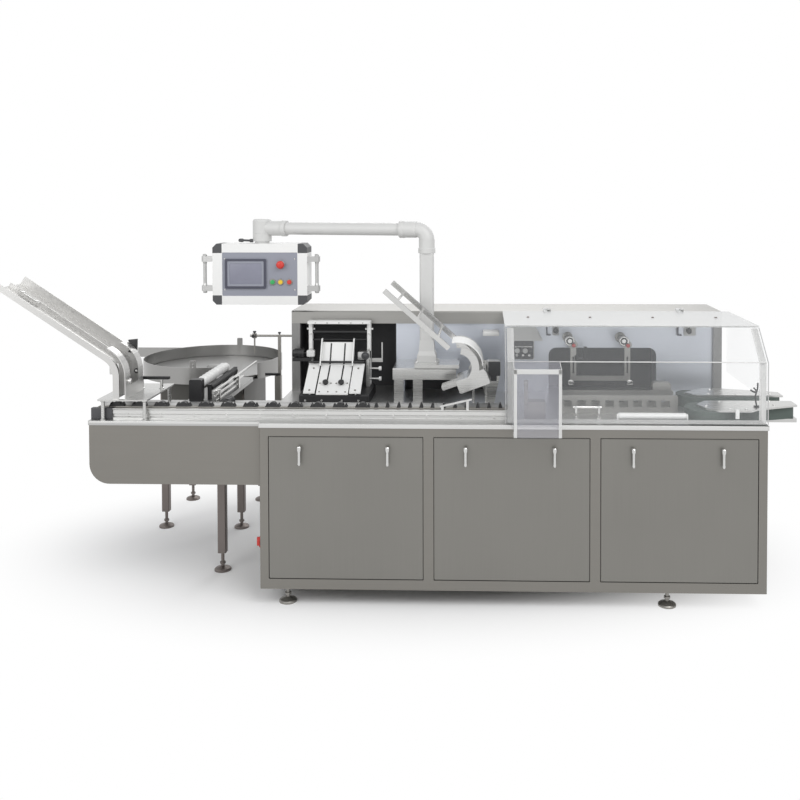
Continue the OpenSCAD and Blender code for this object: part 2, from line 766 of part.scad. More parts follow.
module screw_drive() {
  front_y = screw_y - drive_w * 0.83;
  back_y = screw_y + screw_l + fit_gap;
  end_y = screw_y + screw_l - floor(screw_l / rib_pitch) * rib_pitch + rib_pitch / 4;
  motor_x = lane_x + lane_w * 0.69;
  color(black) difference() {
    union() {
      along_y(front_y, drive_w * 0.75)
        polygon(rounded(screw_x - drive_w / 2, lane_top, drive_w, drive_h, corner_s));
      along_y(back_y, drive_w / 4)
        polygon(rounded(screw_x - drive_w / 4, lane_top, drive_w / 2, drive_h * 0.88, corner_s));
      box(guide_x - rib_r / 2, screw_y + screw_l, lane_top, rib_r, rib_r, guide_z - lane_top + rib_r);
      box(guide_x - rib_r / 2, end_y - rib_r, lane_top, rib_r, rib_r, guide_z - lane_top + rib_r);
      translate([motor_x, bed_y + fit_gap, top_z + motor_r + 1]) rotate([-90, 0, 0]) rotate_extrude()
        polygon(motor_side(drive_w * 1.5, motor_r));
      along_y(bed_y + 2 * fit_gap, drive_w * 1.2) polygon([
        [motor_x - motor_r, top_z], [motor_x + motor_r, top_z], [motor_x + motor_r / 2,
          top_z + motor_r * 0.6],
        [motor_x - motor_r / 2, top_z + motor_r * 0.6]]);
    }
    rod_y(screw_x, front_y + drive_w / 4, screw_z, screw_l + 3 * drive_w, journal_r + fit);
  }
}
module gate_rail() {
  y = cab_d - gate_in;
  x = x0 - gate_x;
  z = house_z - gate_drop;
  color(bright) union() {
    rod_x(x - gate_reach, y, z, gate_reach + gate_x + house_in, rail_r);
    along_y(y - rail_r, 2 * rail_r) polygon(concat(
      [[x - gate_w, gate_z], [x + gate_w / 2, gate_z]], arc(x, z, gate_w / 2, 0, 180, 8),
      [[x - gate_w / 2, gate_z + gate_w], [x - gate_w, gate_z + gate_w]]));
    box(x - gate_w * 1.5, y - gate_w, deck_z - gate_drop * 0.6, 2 * gate_w, 2 * gate_w,
      gate_z - deck_z + gate_drop * 0.6 + gate_w);
    box(x - gate_w * 1.5, y - gate_w, deck_z - gate_drop * 0.6, gate_x + gate_w * 1.5, 2 * gate_w,
      2 * gate_w);
    translate([x - gate_reach * 0.85, y, z - 2 * rail_r]) cylinder(h = 4 * rail_r, r = 2 * rail_r);
    rod_z(x - gate_reach * 0.85, y, z - gate_drop * 0.6, gate_drop * 0.6, rail_r * 0.7);
  }
}

// Rear housing
module housing_roof() {
  z = house_z - lintel_h;
  color(bright) union() {
    along_x(house_x, house_x1 - house_x) polygon([
      [house_y, z], [house_y + lintel_t, z], [house_y + lintel_t, house_z - roof_t], [cab_d - lintel_t,
        house_z - roof_t],
      [cab_d - lintel_t, z], [cab_d, z], [cab_d, house_z], [house_y + edge_r, house_z], [house_y,
        house_z - edge_r]]);
    for (x = [house_x, house_x1 - lintel_t]) {
      box(x, house_y + lintel_t, z, lintel_t, house_d - 2 * lintel_t, lintel_h - roof_t);
    }
  }
}
module housing_walls() {
  h = house_z - lintel_h - top_z;
  color(bright) translate([0, 0, top_z]) linear_extrude(h) polygon([
    [house_x, house_y], [house_x + house_post, house_y], [house_x + house_post, cab_d - lintel_t],
    [house_x1 - house_post, cab_d - lintel_t], [house_x1 - house_post, house_y], [house_x1, house_y],
    [house_x1, cab_d], [house_x, cab_d]]);
}
module window_cut(y, t, inset) {
  along_y(y, t) polygon(rounded(window_x + inset, top_z - window_r, window_w - 2 * inset,
    window_h + window_r - inset, window_r - inset));
}
module slot_cut(y, t, inset, low) {
  along_y(y, t) polygon([[bay_x + house_post + inset, low], [hood_x - house_post - inset, low],
    [hood_x - 2 * house_post - inset, top_z + slot_h - inset], [bay_x + house_post + inset,
      top_z + slot_h - inset]]);
}
module back_panel() {
  h = house_z - lintel_h - top_z;
  color(bright) difference() {
    box(bay_x, panel_y, top_z, house_x1 - house_post - bay_x, cab_d - lintel_t - panel_y, h);
    window_cut(panel_y - 1, window_d + 1, 0);
    slot_cut(panel_y - 1, slot_d + 1, 0, top_z - 1);
  }
}
module bay_lining() {
  x = house_x + house_post;
  h = house_z - lintel_h - top_z;
  y1 = panel_y + bay_d;
  color(dark) union() {
    translate([0, 0, top_z]) linear_extrude(h) polygon([
      [x, house_y + edge_r], [x + lining_t, house_y + edge_r], [x + lining_t, y1 - lining_t],
      [bay_x - lining_t, y1 - lining_t], [bay_x - lining_t, panel_y], [bay_x, panel_y], [bay_x, y1], [x,
        y1]]);
    intersection() {
      window_cut(panel_y + window_d - lining_t, lining_t, 1);
      box(window_x, panel_y, top_z, window_w, window_d, window_h);
    }
    slot_cut(panel_y + slot_d - lining_t, lining_t, 1, top_z);
  }
}

// Leaflet folder in the open bay
module leaflet_frame() {
  z = top_z + fold_base;
  top = z + folder_h;
  y = fold_y + fold_d - column_d;
  color(white) union() {
    for (x = [fold_x, fold_x + folder_w - column_w]) {
      translate([0, 0, z]) linear_extrude(folder_h)
        polygon(rounded(x, y, column_w, column_d, column_w / 5));
      rod_x(x - column_w / 2, y + column_d / 2, top - column_w * 2, column_w * 2, column_w / 4);
    }
    along_x(fold_x, folder_w)
      polygon([[y - cover_out, top - cover_t], [y - cover_out + cover_t / 3, top - cover_t],
      [y - cover_out + cover_t / 3, top], [y + column_d, top], [y + column_d, top + cover_t / 3],
      [y - cover_out, top + cover_t / 3]]);
    along_y(y - column_w, column_w)
      polygon(rounded(fold_x - column_w / 3, z + folder_h * 0.45, column_w * 2, column_w * 1.6,
        column_w / 4));
  }
}
module ramp(x, l, y0, y1, z, t) {
  along_x(x, l) polygon([[y0, z], [y1, z + (y1 - y0) * tan(folder_a)],
    [y1, z + (y1 - y0) * tan(folder_a) + t], [y0, z + t]]);
}
module cheek(x, y1, z) {
  along_x(x, plate_t) polygon([[fold_y + plate_t, top_z + fold_base], [y1, top_z + fold_base],
    [y1, z + ramp_d * tan(folder_a)], [fold_y + plate_t, z + plate_t * tan(folder_a)]]);
}
module leaflet_plates() {
  z = top_z + fold_base + plate_t;
  w = folder_w - 2 * ramp_in;
  strip = w * 0.2;
  mid = w - 2 * strip - 2 * plate_t;
  mid_x = fold_x + ramp_in + strip + plate_t;
  y1 = fold_y + ramp_d;
  z1 = z + ramp_d * tan(folder_a);
  color(white) union() {
    for (x = [fold_x + ramp_in, fold_x + folder_w - ramp_in - strip]) {
      ramp(x, strip, fold_y, y1, z, plate_t);
      cheek(x + strip / 2, y1, z);
    }
    ramp(mid_x, mid, fold_y, y1, z - plate_t, plate_t);
    for (x = [mid_x + plate_t, mid_x + mid - 2 * plate_t]) {
      cheek(x, y1, z - plate_t);
    }
    for (x = [mid_x - plate_t, mid_x + mid]) {
      along_x(x, plate_t) polygon([[y1 - 5 * plate_t, z1], [y1, z1 - plate_t],
        [y1 + upper_d, z1 + upper_h + column_w], [y1 + upper_d - 3 * plate_t, z1 + upper_h + column_w]]);
    }
    difference() {
      along_x(mid_x, mid) polygon([[y1 - plate_t, z1 - plate_t], [y1, z1 - plate_t],
        [y1 + upper_d, z1 + upper_h], [y1 + upper_d - plate_t, z1 + upper_h]]);
      for (s = [0.25, 0.7]) {
        along_x(mid_x + mid * s, groove_w) polygon([[y1 - 3 * plate_t, z1],
          [y1 - plate_t / 2 + upper_d * 0.06, z1], [y1 - plate_t / 2 + upper_d, z1 + upper_h + 1],
          [y1 - 3 * plate_t + upper_d, z1 + upper_h + 1]]);
      }
    }
  }
}
module leaflet_drive() {
  z = top_z + fold_base;
  y = fold_y + ramp_d / 3;
  kz = z + plate_t + (y - fold_y) * tan(folder_a);
  axle_z = z + folder_h * 0.45 + column_w * 0.8;
  axle_y = fold_y + fold_d - column_d - column_w / 2;
  motor_x = fold_x - 4 * column_w;
  color(dark) union() {
    along_x(fold_x, folder_w + column_w) polygon([[fold_y, top_z], [fold_y + fold_d, top_z],
      [fold_y + fold_d, z], [fold_y + edge_r, z], [fold_y, z - edge_r]]);
    for (s = [0.38, 0.62]) {
      translate([fold_x + folder_w * s, y, kz]) rotate([folder_a, 0, 0]) rotate_extrude()
        polygon(knob_side(column_w * 0.7, column_w));
    }
    translate([motor_x, axle_y, axle_z]) rotate([0, 90, 0]) rotate_extrude()
      polygon(motor_side(column_w * 3, column_w * 1.2));
    rod_x(motor_x + column_w, axle_y, axle_z, column_w * 8 / 3, column_w / 3);
    along_y(axle_y - column_w / 2, column_w)
      polygon(rounded(motor_x, axle_z - column_w * 2, column_w * 4.75, column_w * 0.9, lip));
  }
}
module leaflet_trim() {
  z = top_z + fold_base;
  x = fold_x + folder_w;
  y = fold_y + fold_d - column_d;
  box_z = z + folder_h * 0.42;
  color(bright) union() {
    translate([0, 0, z]) linear_extrude(folder_h * 0.45)
      polygon(rounded(x - column_w, y - column_d - column_w, column_w, column_w, column_w / 5));
    along_y(y - column_d - column_w, column_d + column_w)
      polygon(rounded(x - 3 * column_w, box_z, 3 * column_w, column_w * 2, column_w / 4));
    along_y(y, plate_t) polygon([[x, box_z - column_w], [x + bracket_w, box_z - column_w],
      [x + bracket_w, box_z + 4 * column_w], [x + bracket_w - plate_t, box_z + 4 * column_w],
      [x + bracket_w - plate_t, box_z], [x, box_z]]);
    for (h = [0.12, 0.28]) {
      rod_x(x - column_w, y - column_d - column_w / 2, z + folder_h * h, bracket_w, column_w / 4);
    }
  }
}

// Carton magazine
module channel(l) {
  translate([-l, 0, 0]) rotate([90, 0, 90]) linear_extrude(l) polygon([
    [0, 0], [rail_w, 0], [rail_w, rail_w * 2], [rail_w - sheet_t, rail_w * 2], [rail_w - sheet_t, sheet_t],
    [sheet_t, sheet_t], [sheet_t, rail_w * 2], [0, rail_w * 2]]);
}
module magazine_rails() {
  y1 = mag_y + mag_w - rail_w;
  color(bright) union() {
    translate([mag_x, y1, mag_z]) rotate([0, mag_a, 0]) channel(mag_l);
    translate([mag_x - mag_drop * 2, mag_y, mag_z + mag_drop]) rotate([0, mag_a, 0]) channel(mag_l * 0.8);
    for (s = [mag_l * 0.35, mag_l * 0.6, mag_l * 0.85]) {
      rod_y(mag_x - s * cos(mag_a), mag_y + 1, mag_z + s * sin(mag_a) + rod_up, mag_w - 2, rod_r);
    }
  }
}
module magazine_throat() {
  color(white) along_y(mag_y + rail_w * 2, mag_w - rail_w * 3)
    polygon(concat(arc(throat_x, throat_z, throat_r, 104, 4, 14),
      flip(arc(throat_x, throat_z, throat_r - strap_t, 104, 4, 14))));
}
module magazine_head() {
  y = mag_y + mag_w;
  head_d = mag_w - 2 * rail_w;
  color(steel) union() {
    along_y(y, plate_t * 2) polygon(concat(
      arc(throat_x, throat_z, throat_r, -40, 100, 14), flip(arc(throat_x, throat_z, throat_r / 2, -40,
        100, 14))));
    along_y(y, plate_t * 2) polygon([[head_x1 - head_h, top_z], [head_x1 - head_h / 2, top_z],
      [head_x1, throat_z - head_h], [head_x1, throat_z], [throat_x + throat_r * 0.8, throat_z],
      [throat_x + throat_r * 0.8, throat_z - head_h]]);
    translate([head_x, y - head_d, head_z]) rotate([0, -head_a, 0]) union() {
      along_y(0, head_d) polygon(rounded(0, 0, head_w, head_h, corner_s));
      along_y(head_d * 0.2, head_d * 0.3)
        polygon(rounded(-head_w / 2, head_h * 0.55, head_w * 0.6, head_h * 0.4, plate_t));
      along_y(-plate_t, head_d * 0.4)
        polygon(rounded(head_w * 0.62, head_h * 0.3, head_w * 0.35, head_h * 0.9, plate_t));
    }
    along_y(mag_y + rail_w * 1.2, plate_t) polygon(concat(
      arc(throat_x, throat_z, throat_r * 0.84, 80, -40, 12), flip(arc(throat_x, throat_z,
        throat_r * 0.54, 80, -40, 12))));
    along_y(mag_y + rail_w * 1.2, head_d) polygon(concat(
      arc(throat_x, throat_z, throat_r * 0.6, -10, -48, 4), flip(arc(throat_x, throat_z, throat_r * 0.54,
        -10, -48, 4))));
    along_y(y - head_d * 0.3, head_d * 0.3)
      polygon(rounded(head_x1 - head_h, throat_z - head_h, head_h, head_h * 1.1, corner_s));
    for (s = [0.4, 0.8]) {
      rod_z(head_x + head_w * s, y - rod_r * 2, top_z, head_z - top_z + head_h * 0.9, rod_r);
    }
  }
}

// Control panel on its swinging arm
module boom_shelf() {
  x = post_x - shelf_l * 0.53;
  y = post_y - shelf_in;
  z = shelf_z - shelf_h;
  color(bright) union() {
    along_x(x, shelf_l) polygon([[y, z], [y + plate_t, z], [y + plate_t, shelf_z - plate_t],
      [panel_y, shelf_z - plate_t], [panel_y, shelf_z], [y + edge_r, shelf_z], [y, shelf_z - edge_r]]);
    box(post_x - post_w * 0.85, post_y - post_w * 0.87, shelf_z, post_w * 3.2, post_w * 1.74, riser_h);
    for (s = [x, x + shelf_l * 0.3]) {
      translate([0, 0, top_z]) linear_extrude(shelf_z - plate_t - top_z) polygon([
        [s + edge_r, y + plate_t], [s + leg_w * 1.3, y + plate_t], [s + leg_w * 1.3, y + 2 * plate_t],
        [s + edge_r + plate_t, y + 2 * plate_t], [s + edge_r + plate_t, y + post_w], [s + edge_r,
          y + post_w]]);
    }
  }
}
module boom_post() {
  s = post_w / 2;
  color(pale) translate([post_x, post_y, 0]) union() {
    translate([0, 0, post_z - flange_t]) linear_extrude(flange_t)
      polygon(rounded(-s - 25, -s - 25, post_w + 50, post_w + 50, 14));
    intersection() {
      along_x(-post_w, 2 * post_w) polygon(cast_side(s));
      along_y(-post_w, 2 * post_w) polygon(cast_side(s));
    }
    translate([0, 0, post_z + cast_h]) linear_extrude(elbow_z - post_z - cast_h)
      polygon(rounded(-s, -s, post_w, post_w, 10));
    rod_z(0, 0, elbow_z, pin_h, pin_r);
  }
}
module boom_arm() {
  bend = elbow_r * 1.4;
  color(pale) translate([post_x, post_y, 0]) rotate([0, 0, 180 - arm_yaw]) difference() {
    union() {
      translate([0, 0, elbow_z + gap]) rotate_extrude()
        polygon(sleeve_side(arm_z - bend - elbow_z - gap, elbow_r));
      translate([bend, 0, arm_z - bend]) rotate([90, 0, 0]) rotate([0, 0, -90]) rotate_extrude(angle = 90)
        translate([-bend, 0]) circle(r = elbow_r);
      translate([bend - lip, 0, arm_z]) rotate([0, 90, 0]) rotate_extrude()
        polygon(socket_side(socket_l, elbow_r));
      rod_x(bend, 0, arm_z, arm_l - bend, arm_r);
      translate([arm_l, 0, arm_z]) rotate([0, -90, 0]) rotate_extrude()
        polygon(socket_side(socket_l * 1.5, elbow_r - 3));
      translate([arm_l, 0, panel_top + flange_t + gap]) rotate_extrude()
        polygon(head_side(arm_z + elbow_r - panel_top - gap, corner_w));
    }
    rod_z(0, 0, elbow_z, pin_h + 1, pin_r + fit);
    rod_z(arm_l, 0, panel_top, pin_h + flange_t + 6, panel_pin + fit);
  }
}
module hmi_box() {
  z = panel_top - panel_h;
  y = pan_y - panel_d / 2;
  color(white) difference() {
    union() {
      along_y(y, panel_d) polygon(rounded(pan_x - panel_w / 2, z, panel_w, panel_h, plate_t));
      rod_z(pan_x, pan_y, panel_top, flange_t, elbow_r);
      rod_z(pan_x, pan_y, panel_top + flange_t, pin_h, panel_pin);
    }
    for (a = [-1, 1]) {
      for (b = [-1, 1]) {
        along_y(y - 1, panel_d + 2)
          polygon(turned(corner_cut(panel_w / 2, panel_h / 2), pan_x, z + panel_h / 2, a, b));
      }
    }
    along_y(y - 1, face_in + 1) polygon(rounded(pan_x - face_w / 2, z + face_z, face_w, face_h, 2));
  }
}
module hmi_corners() {
  z = panel_top - panel_h / 2;
  color(dark) for (a = [-1, 1]) {
    for (b = [-1, 1]) {
      along_y(pan_y - panel_d / 2, panel_d)
        polygon(turned(corner_side(panel_w / 2, panel_h / 2), pan_x, z, a, b));
    }
  }
}
module hmi_face() {
  z = panel_top - panel_h + face_z;
  y = pan_y - panel_d / 2;
  x = pan_x - face_w / 2;
  color(grey) union() {
    along_y(y + face_in - plate_t / 2, plate_t / 2) polygon(rounded(x, z, face_w, face_h, 2));
    difference() {
      along_y(y - plate_t, face_in + plate_t / 2 + gap)
        polygon(rounded(x + bezel_in, z + bezel_up, bezel_w, bezel_h, plate_t));
      along_y(y - plate_t - 1, plate_t / 2 + 1)
        polygon(rounded(x + bezel_in + bezel_t, z + bezel_up + bezel_t, bezel_w - 2 * bezel_t,
          bezel_h - 2 * bezel_t, 2));
    }
  }
}
module hmi_buttons() {
  z = panel_top - panel_h;
  y = pan_y - panel_d / 2 + face_in - plate_t / 2;
  color(red) union() {
    translate([pan_x + stop_x, y, z + stop_z]) rotate([90, 0, 0]) rotate_extrude()
      polygon(stop_side(stop_r));
    for (x = button_x) {
      translate([pan_x + x, y, z + button_z]) rotate([90, 0, 0]) rotate_extrude()
        polygon(button_side(button_r));
    }
  }
}
module hmi_handles() {
  z = panel_top - panel_h;
  y = pan_y - grip_y;
  color(steel) for (s = [-1, 1]) {
    translate([pan_x + s * (panel_w / 2 + grip_out), y, z + grip_z]) rotate_extrude()
      polygon(grip_side(grip_l, grip_r));
    for (h = [z + grip_z + grip_r, z + grip_z + grip_l - grip_r - bracket_h]) {
      translate([0, 0, h]) linear_extrude(bracket_h) polygon(turned(concat(
        [[0, grip_r * 2], [0, -grip_r * 2]], arc(grip_out, 0, grip_r * 1.5, -70, 70, 8)),
          pan_x + s * panel_w / 2, y, s, 1));
    }
  }
}

// Hood and guard
module hood_top() {
  color(pale) difference() {
    union() {
      box(hood_x, hood_set, hood_top_z - clear_t, hood_l, house_y - hood_gap - hood_set, clear_t);
      for (x = hinge_x) {
        box(x - hinge_w - 1, hinge_y - leaf_l, hood_top_z, hinge_w, leaf_l - hinge_r / 2, leaf_t);
        box(x - hinge_w - 1, hinge_y - leaf_t, hood_top_z + 2, hinge_w, leaf_t, hinge_z - hood_top_z - 2);
        rod_x(x - hinge_w - 1, hinge_y, hinge_z, hinge_w, hinge_r);
      }
    }
    for (x = hinge_x) {
      rod_x(x - hinge_w - 2, hinge_y, hinge_z, hinge_w + 2, hinge_pin + fit);
    }
  }
}
module hood_front() {
  t = clear_t;
  color(clear) along_x(hood_x + t, hood_l - 2 * t) polygon([[0, hood_z], [0, knee_z],
    [hood_set, hood_top_z], [hood_set, hood_top_z - 1.42 * t], [t, knee_z - 0.42 * t], [t, hood_z]]);
}
module end_sheet(x, strip, notch) {
  r = house_y - hood_gap;
  color(clear) along_x(x, clear_t) polygon(concat([[0, hood_z], [strip, hood_z]],
    flip(arc(strip + notch_r, notch - notch_r, notch_r, 90, 180, 6)),
    [[r, notch], [r, hood_top_z - clear_t], [hood_set, hood_top_z - clear_t], [0, knee_z - clear_t]]));
}
module hood_ends() {
  end_sheet(hood_x, strip_w, top_z + notch_in);
  end_sheet(x1 - clear_t, strip_w / 3, top_z + notch_out);
}
module hood_rail() {
  t = clear_t;
  a = 1.42 * t;
  color(bright) union() {
    along_x(hood_x + t, hood_l - 2 * t) polygon([[t, hood_z], [2 * t, hood_z], [2 * t, hood_z + rail_h - t],
      [2 * t + 2, hood_z + rail_h], [t, hood_z + rail_h]]);
    for (x = [hood_x + t, x1 - t - band_w]) {
      along_x(x, band_w) polygon([[t, hood_z + rail_h], [t + band_t, hood_z + rail_h],
        [t + band_t, knee_z - 0.42 * t - band_t * 0.4], [hood_set, hood_top_z - a - band_t * 1.4],
          [hood_set, hood_top_z - a],
        [t, knee_z - 0.42 * t]]);
    }
  }
}
module front_guard() {
  x = hood_x + guard_in;
  t = guard_t;
  low = deck_z - guard_drop;
  color(clear) difference() {
    along_x(x, guard_w) polygon([[-guard_d, low], [-lip * 3, low], [-lip * 3, hood_z], [0, hood_z],
      [0, knee_z + 2], [-guard_d, knee_z - guard_slope]]);
    along_x(x + t, guard_w - 2 * t) polygon([[t - guard_d, low - t], [1, low - t], [1, knee_z - t],
      [t - guard_d, knee_z - guard_slope - t - 1]]);
  }
}
module roof_hinges() {
  color(bright) for (x = hinge_x) {
    box(x + 1, house_y, house_z, hinge_w, leaf_l - hinge_r, leaf_t - 1);
    box(x + 1, house_y - 2, house_z + 2, hinge_w, leaf_t, leaf_t);
    rod_x(x + 1, hinge_y, hinge_z, hinge_w, hinge_r);
    rod_x(x - hinge_w - 1, hinge_y, hinge_z, hinge_w + 2, hinge_pin);
  }
}

// Carton line under the hood
module pickup_box() {
  x = hood_x + pickup_in;
  z = house_z - lintel_h;
  y = panel_y - pickup_d;
  color(pale) union() {
    along_y(y, pickup_d)
      polygon([[x, z - pickup_h], [x + pickup_w, z - pickup_h], [x + pickup_w * 0.77, z - lip],
      [x - lip, z - lip]]);
    along_y(y + pickup_d * 0.3, pickup_d * 0.7)
      polygon(rounded(x + lip * 4, z - pickup_h * 2.3, pickup_w * 0.66, pickup_h * 1.3 + 1, corner_s));
    for (s = [0.2, 0.45]) {
      translate([x + pickup_w * s, y + pickup_d * 0.3, z - pickup_h * 1.7]) rotate([90, 0,
        0]) rotate_extrude()
        polygon(knob_side(corner_s * 1.6, corner_s * 2));
    }
  }
}
module gantry() {
  y = panel_y - gantry_out;
  z = top_z + boss_z;
  color(bright) union() {
    for (x = [hood_x + boss_x, hood_x + boss_x + boss_pitch]) {
      translate([x, panel_y, z]) rotate([90, 0, 0]) rotate_extrude() polygon(boss_side(gantry_out, boss_r));
      along_y(y, arm_t) difference() {
        polygon(link_side(x, z, x + link_dx, z - link_dz, arm_w * 0.9));
        translate([x + link_dx, z - link_dz]) circle(r = arm_w / 4);
      }
      along_y(y, arm_t) difference() {
        polygon(link_side(x + link_dx, z - link_dz, x + link_dx, top_z + bar_z, arm_w * 0.6));
        polygon(rounded(x + link_dx - arm_w / 6, top_z + bar_z + arm_w, arm_w / 3, boss_z * 0.3,
          arm_w / 8));
      }
    }
    along_y(y, arm_t)
      polygon(rounded(hood_x + boss_x + link_dx, top_z + bar_z - arm_w / 2, boss_pitch, arm_w, arm_w / 4));
  }
}
module carton_rails() {
  l = x1 - belt_in - rail_gap - lane_x0;
  n = floor(l / window_p) - 1;
  color(bright) union() {
    for (y = lane_y) {
      along_y(y, lane_wall) difference() {
        polygon(rounded(lane_x0, top_z, l, rail_top, corner_s));
        for (i = [0:n]) {
          polygon(rounded(lane_x0 + window_p * (i + 0.2), top_z + rail_top * 0.35, window_p * 0.62,
            rail_top * 0.36, 4));
        }
      }
    }
    along_y(lane_y[1] - lane_wall / 2, leg_w) polygon(concat(
      [[lane_x0 + l * 0.82, top_z + rail_top - 1], [lane_x0 + l * 0.98, top_z + rail_top - 1]],
      arc(lane_x0 + l * 0.98 - leg_w / 2, top_z + rail_top + leg_w / 2, leg_w / 2, 0, 90, 6),
      [[lane_x0 + l * 0.84, top_z + rail_top + leg_w], [lane_x0 + l * 0.82,
        top_z + rail_top + leg_w * 0.8]]));
  }
}
module guide_roller() {
  x = x1 - belt_in - roller_l - rail_gap;
  y = roller_y;
  z = top_z + roller_r * 2;
  color(white) union() {
    translate([x, y, z]) rotate([0, 90, 0]) rotate_extrude() polygon(roller_side(roller_l, roller_r));
    for (e = [x - plate_t, x + roller_l]) {
      along_x(e, plate_t) polygon(concat([[y - roller_r, top_z], [y + roller_r, top_z]],
        arc(y, z, roller_r * 0.7, 0, 180, 8)));
    }
  }
}
module end_drive() {
  x = beam_end + drive_in;
  color(steel) union() {
    along_y(beam_y, leg_w * 1.5) polygon(rounded(x, top_z, leg_w * 2, leg_w * 2.2, corner_s));
    along_y(beam_y + corner_s, corner_s)
      polygon(rounded(x - corner_s * 2, top_z, corner_s * 2 + 2, leg_w * 4.6, corner_s / 2));
    for (h = [1.6, 4.2]) {
      translate([x - corner_s, beam_y + corner_s, top_z + leg_w * h]) rotate([90, 0, 0]) rotate_extrude()
        polygon(knob_side(corner_s * 1.2, corner_s * 1.6));
    }
  }
}
module discharge_belts() {
  color(green) translate([0, 0, top_z]) union() {
    linear_extrude(belt_h) polygon(belt_loop(front_drum, drum_r, front_end, end_r));
    linear_extrude(belt_h) polygon(belt_loop(rear_drum, drum_r * 0.8, rear_end, end_r));
  }
}
module discharge_covers() {
  color(bright) union() {
    translate([0, 0, top_z + belt_h]) linear_extrude(cover_h) polygon(front_cover);
    translate([0, 0, top_z + belt_h]) linear_extrude(cover_h) polygon(rear_cover);
    for (e = [front_end, rear_end]) {
      translate([0, 0, top_z - cover_h * 2]) linear_extrude(cover_h * 2)
        polygon(rounded(x1 + lip, e[1] - end_r, out_l - lip, 2 * end_r, corner_s));
    }
  }
}

place() cabinet();
place() front_doors();
place() rear_doors();
place() door_handles();
place() machine_feet();
place() main_switch();
place() deck();
place() infeed_box();
place() infeed_leg();
place() conveyor_beam();
place() conveyor_bed();
place() lug_chain();
place() chain_lugs();
place() chute_tray();
place() chute_guides();
place() chute_base();
place() turntable_legs();
place() turntable_pan();
place() turntable_disc();
place() lane_bridge();
place() lane_rails();
place() timing_screw();
place() ribbed_guide();
place() screw_drive();
place() gate_rail();
place() housing_roof();
place() housing_walls();
place() back_panel();
place() bay_lining();
place() leaflet_frame();
place() leaflet_plates();
place() leaflet_drive();
place() leaflet_trim();
place() magazine_rails();
place() magazine_throat();
place() magazine_head();
place() boom_shelf();
place() boom_post();
place() boom_arm();
place() hmi_box();
place() hmi_corners();
place() hmi_face();
place() hmi_buttons();
place() hmi_handles();
place() hood_top();
place() hood_front();
place() hood_ends();
place() hood_rail();
place() front_guard();
place() roof_hinges();
place() pickup_box();
place() gantry();
place() carton_rails();
place() guide_roller();
place() end_drive();
place() discharge_belts();
place() discharge_covers();
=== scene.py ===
"""Looks of the automatic cartoner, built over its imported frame, in metres."""
import math

import bmesh
import bpy
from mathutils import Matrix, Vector

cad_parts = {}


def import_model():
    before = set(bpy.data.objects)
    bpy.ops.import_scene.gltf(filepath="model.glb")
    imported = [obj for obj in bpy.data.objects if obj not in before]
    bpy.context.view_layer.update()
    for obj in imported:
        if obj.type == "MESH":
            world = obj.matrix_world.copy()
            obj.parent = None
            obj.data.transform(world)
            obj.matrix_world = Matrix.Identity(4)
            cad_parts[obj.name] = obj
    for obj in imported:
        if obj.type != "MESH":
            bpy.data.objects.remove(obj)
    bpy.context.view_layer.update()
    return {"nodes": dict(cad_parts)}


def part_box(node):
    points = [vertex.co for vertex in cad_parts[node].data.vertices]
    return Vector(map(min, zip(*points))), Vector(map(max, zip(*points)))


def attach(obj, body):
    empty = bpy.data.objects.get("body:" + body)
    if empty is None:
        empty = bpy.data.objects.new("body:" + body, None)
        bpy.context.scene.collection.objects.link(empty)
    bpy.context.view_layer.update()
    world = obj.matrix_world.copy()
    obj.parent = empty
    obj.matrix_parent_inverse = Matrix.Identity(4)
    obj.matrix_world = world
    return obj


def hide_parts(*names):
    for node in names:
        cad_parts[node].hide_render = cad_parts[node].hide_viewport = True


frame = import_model()
NODES = frame["nodes"]
SCENE = bpy.context.scene

# Left front corner of the cabinet, in the row frame and in the millimetres of the construction drawing
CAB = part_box("cabinet")[0]
CAB_X = -969.0


def at(x, y, z):
    """A point of the construction drawing, in millimetres, in the row frame."""
    return Vector((CAB.x + (x - CAB_X) / 1000, CAB.y + y / 1000, z / 1000))


def into_scene(name, data):
    """A new object of the scene."""
    obj = bpy.data.objects.new(name, data)
    SCENE.collection.objects.link(obj)
    return obj


# Materials

GRAIN_DETAIL, CLOUD_DETAIL = 5.0, 3.0
TONE_LOW, TONE_HIGH = 0.3, 0.7
GLOSS_LOW, GLOSS_HIGH = 0.82, 1.18
LEAST_ROUGH = 0.03
RELIEF = 0.001
SHEET_CLOUD = 1.5


def add(tree, kind, inputs=None, **settings):
    """A new shader node, with some of its settings and inputs given."""
    node = tree.nodes.new("ShaderNode" + kind)
    for key, value in settings.items():
        setattr(node, key, value)
    for key, value in (inputs or {}).items():
        node.inputs[key].default_value = value
    return node


def link(tree, a, out, b, into):
    tree.links.new(a.outputs[out], b.inputs[into])


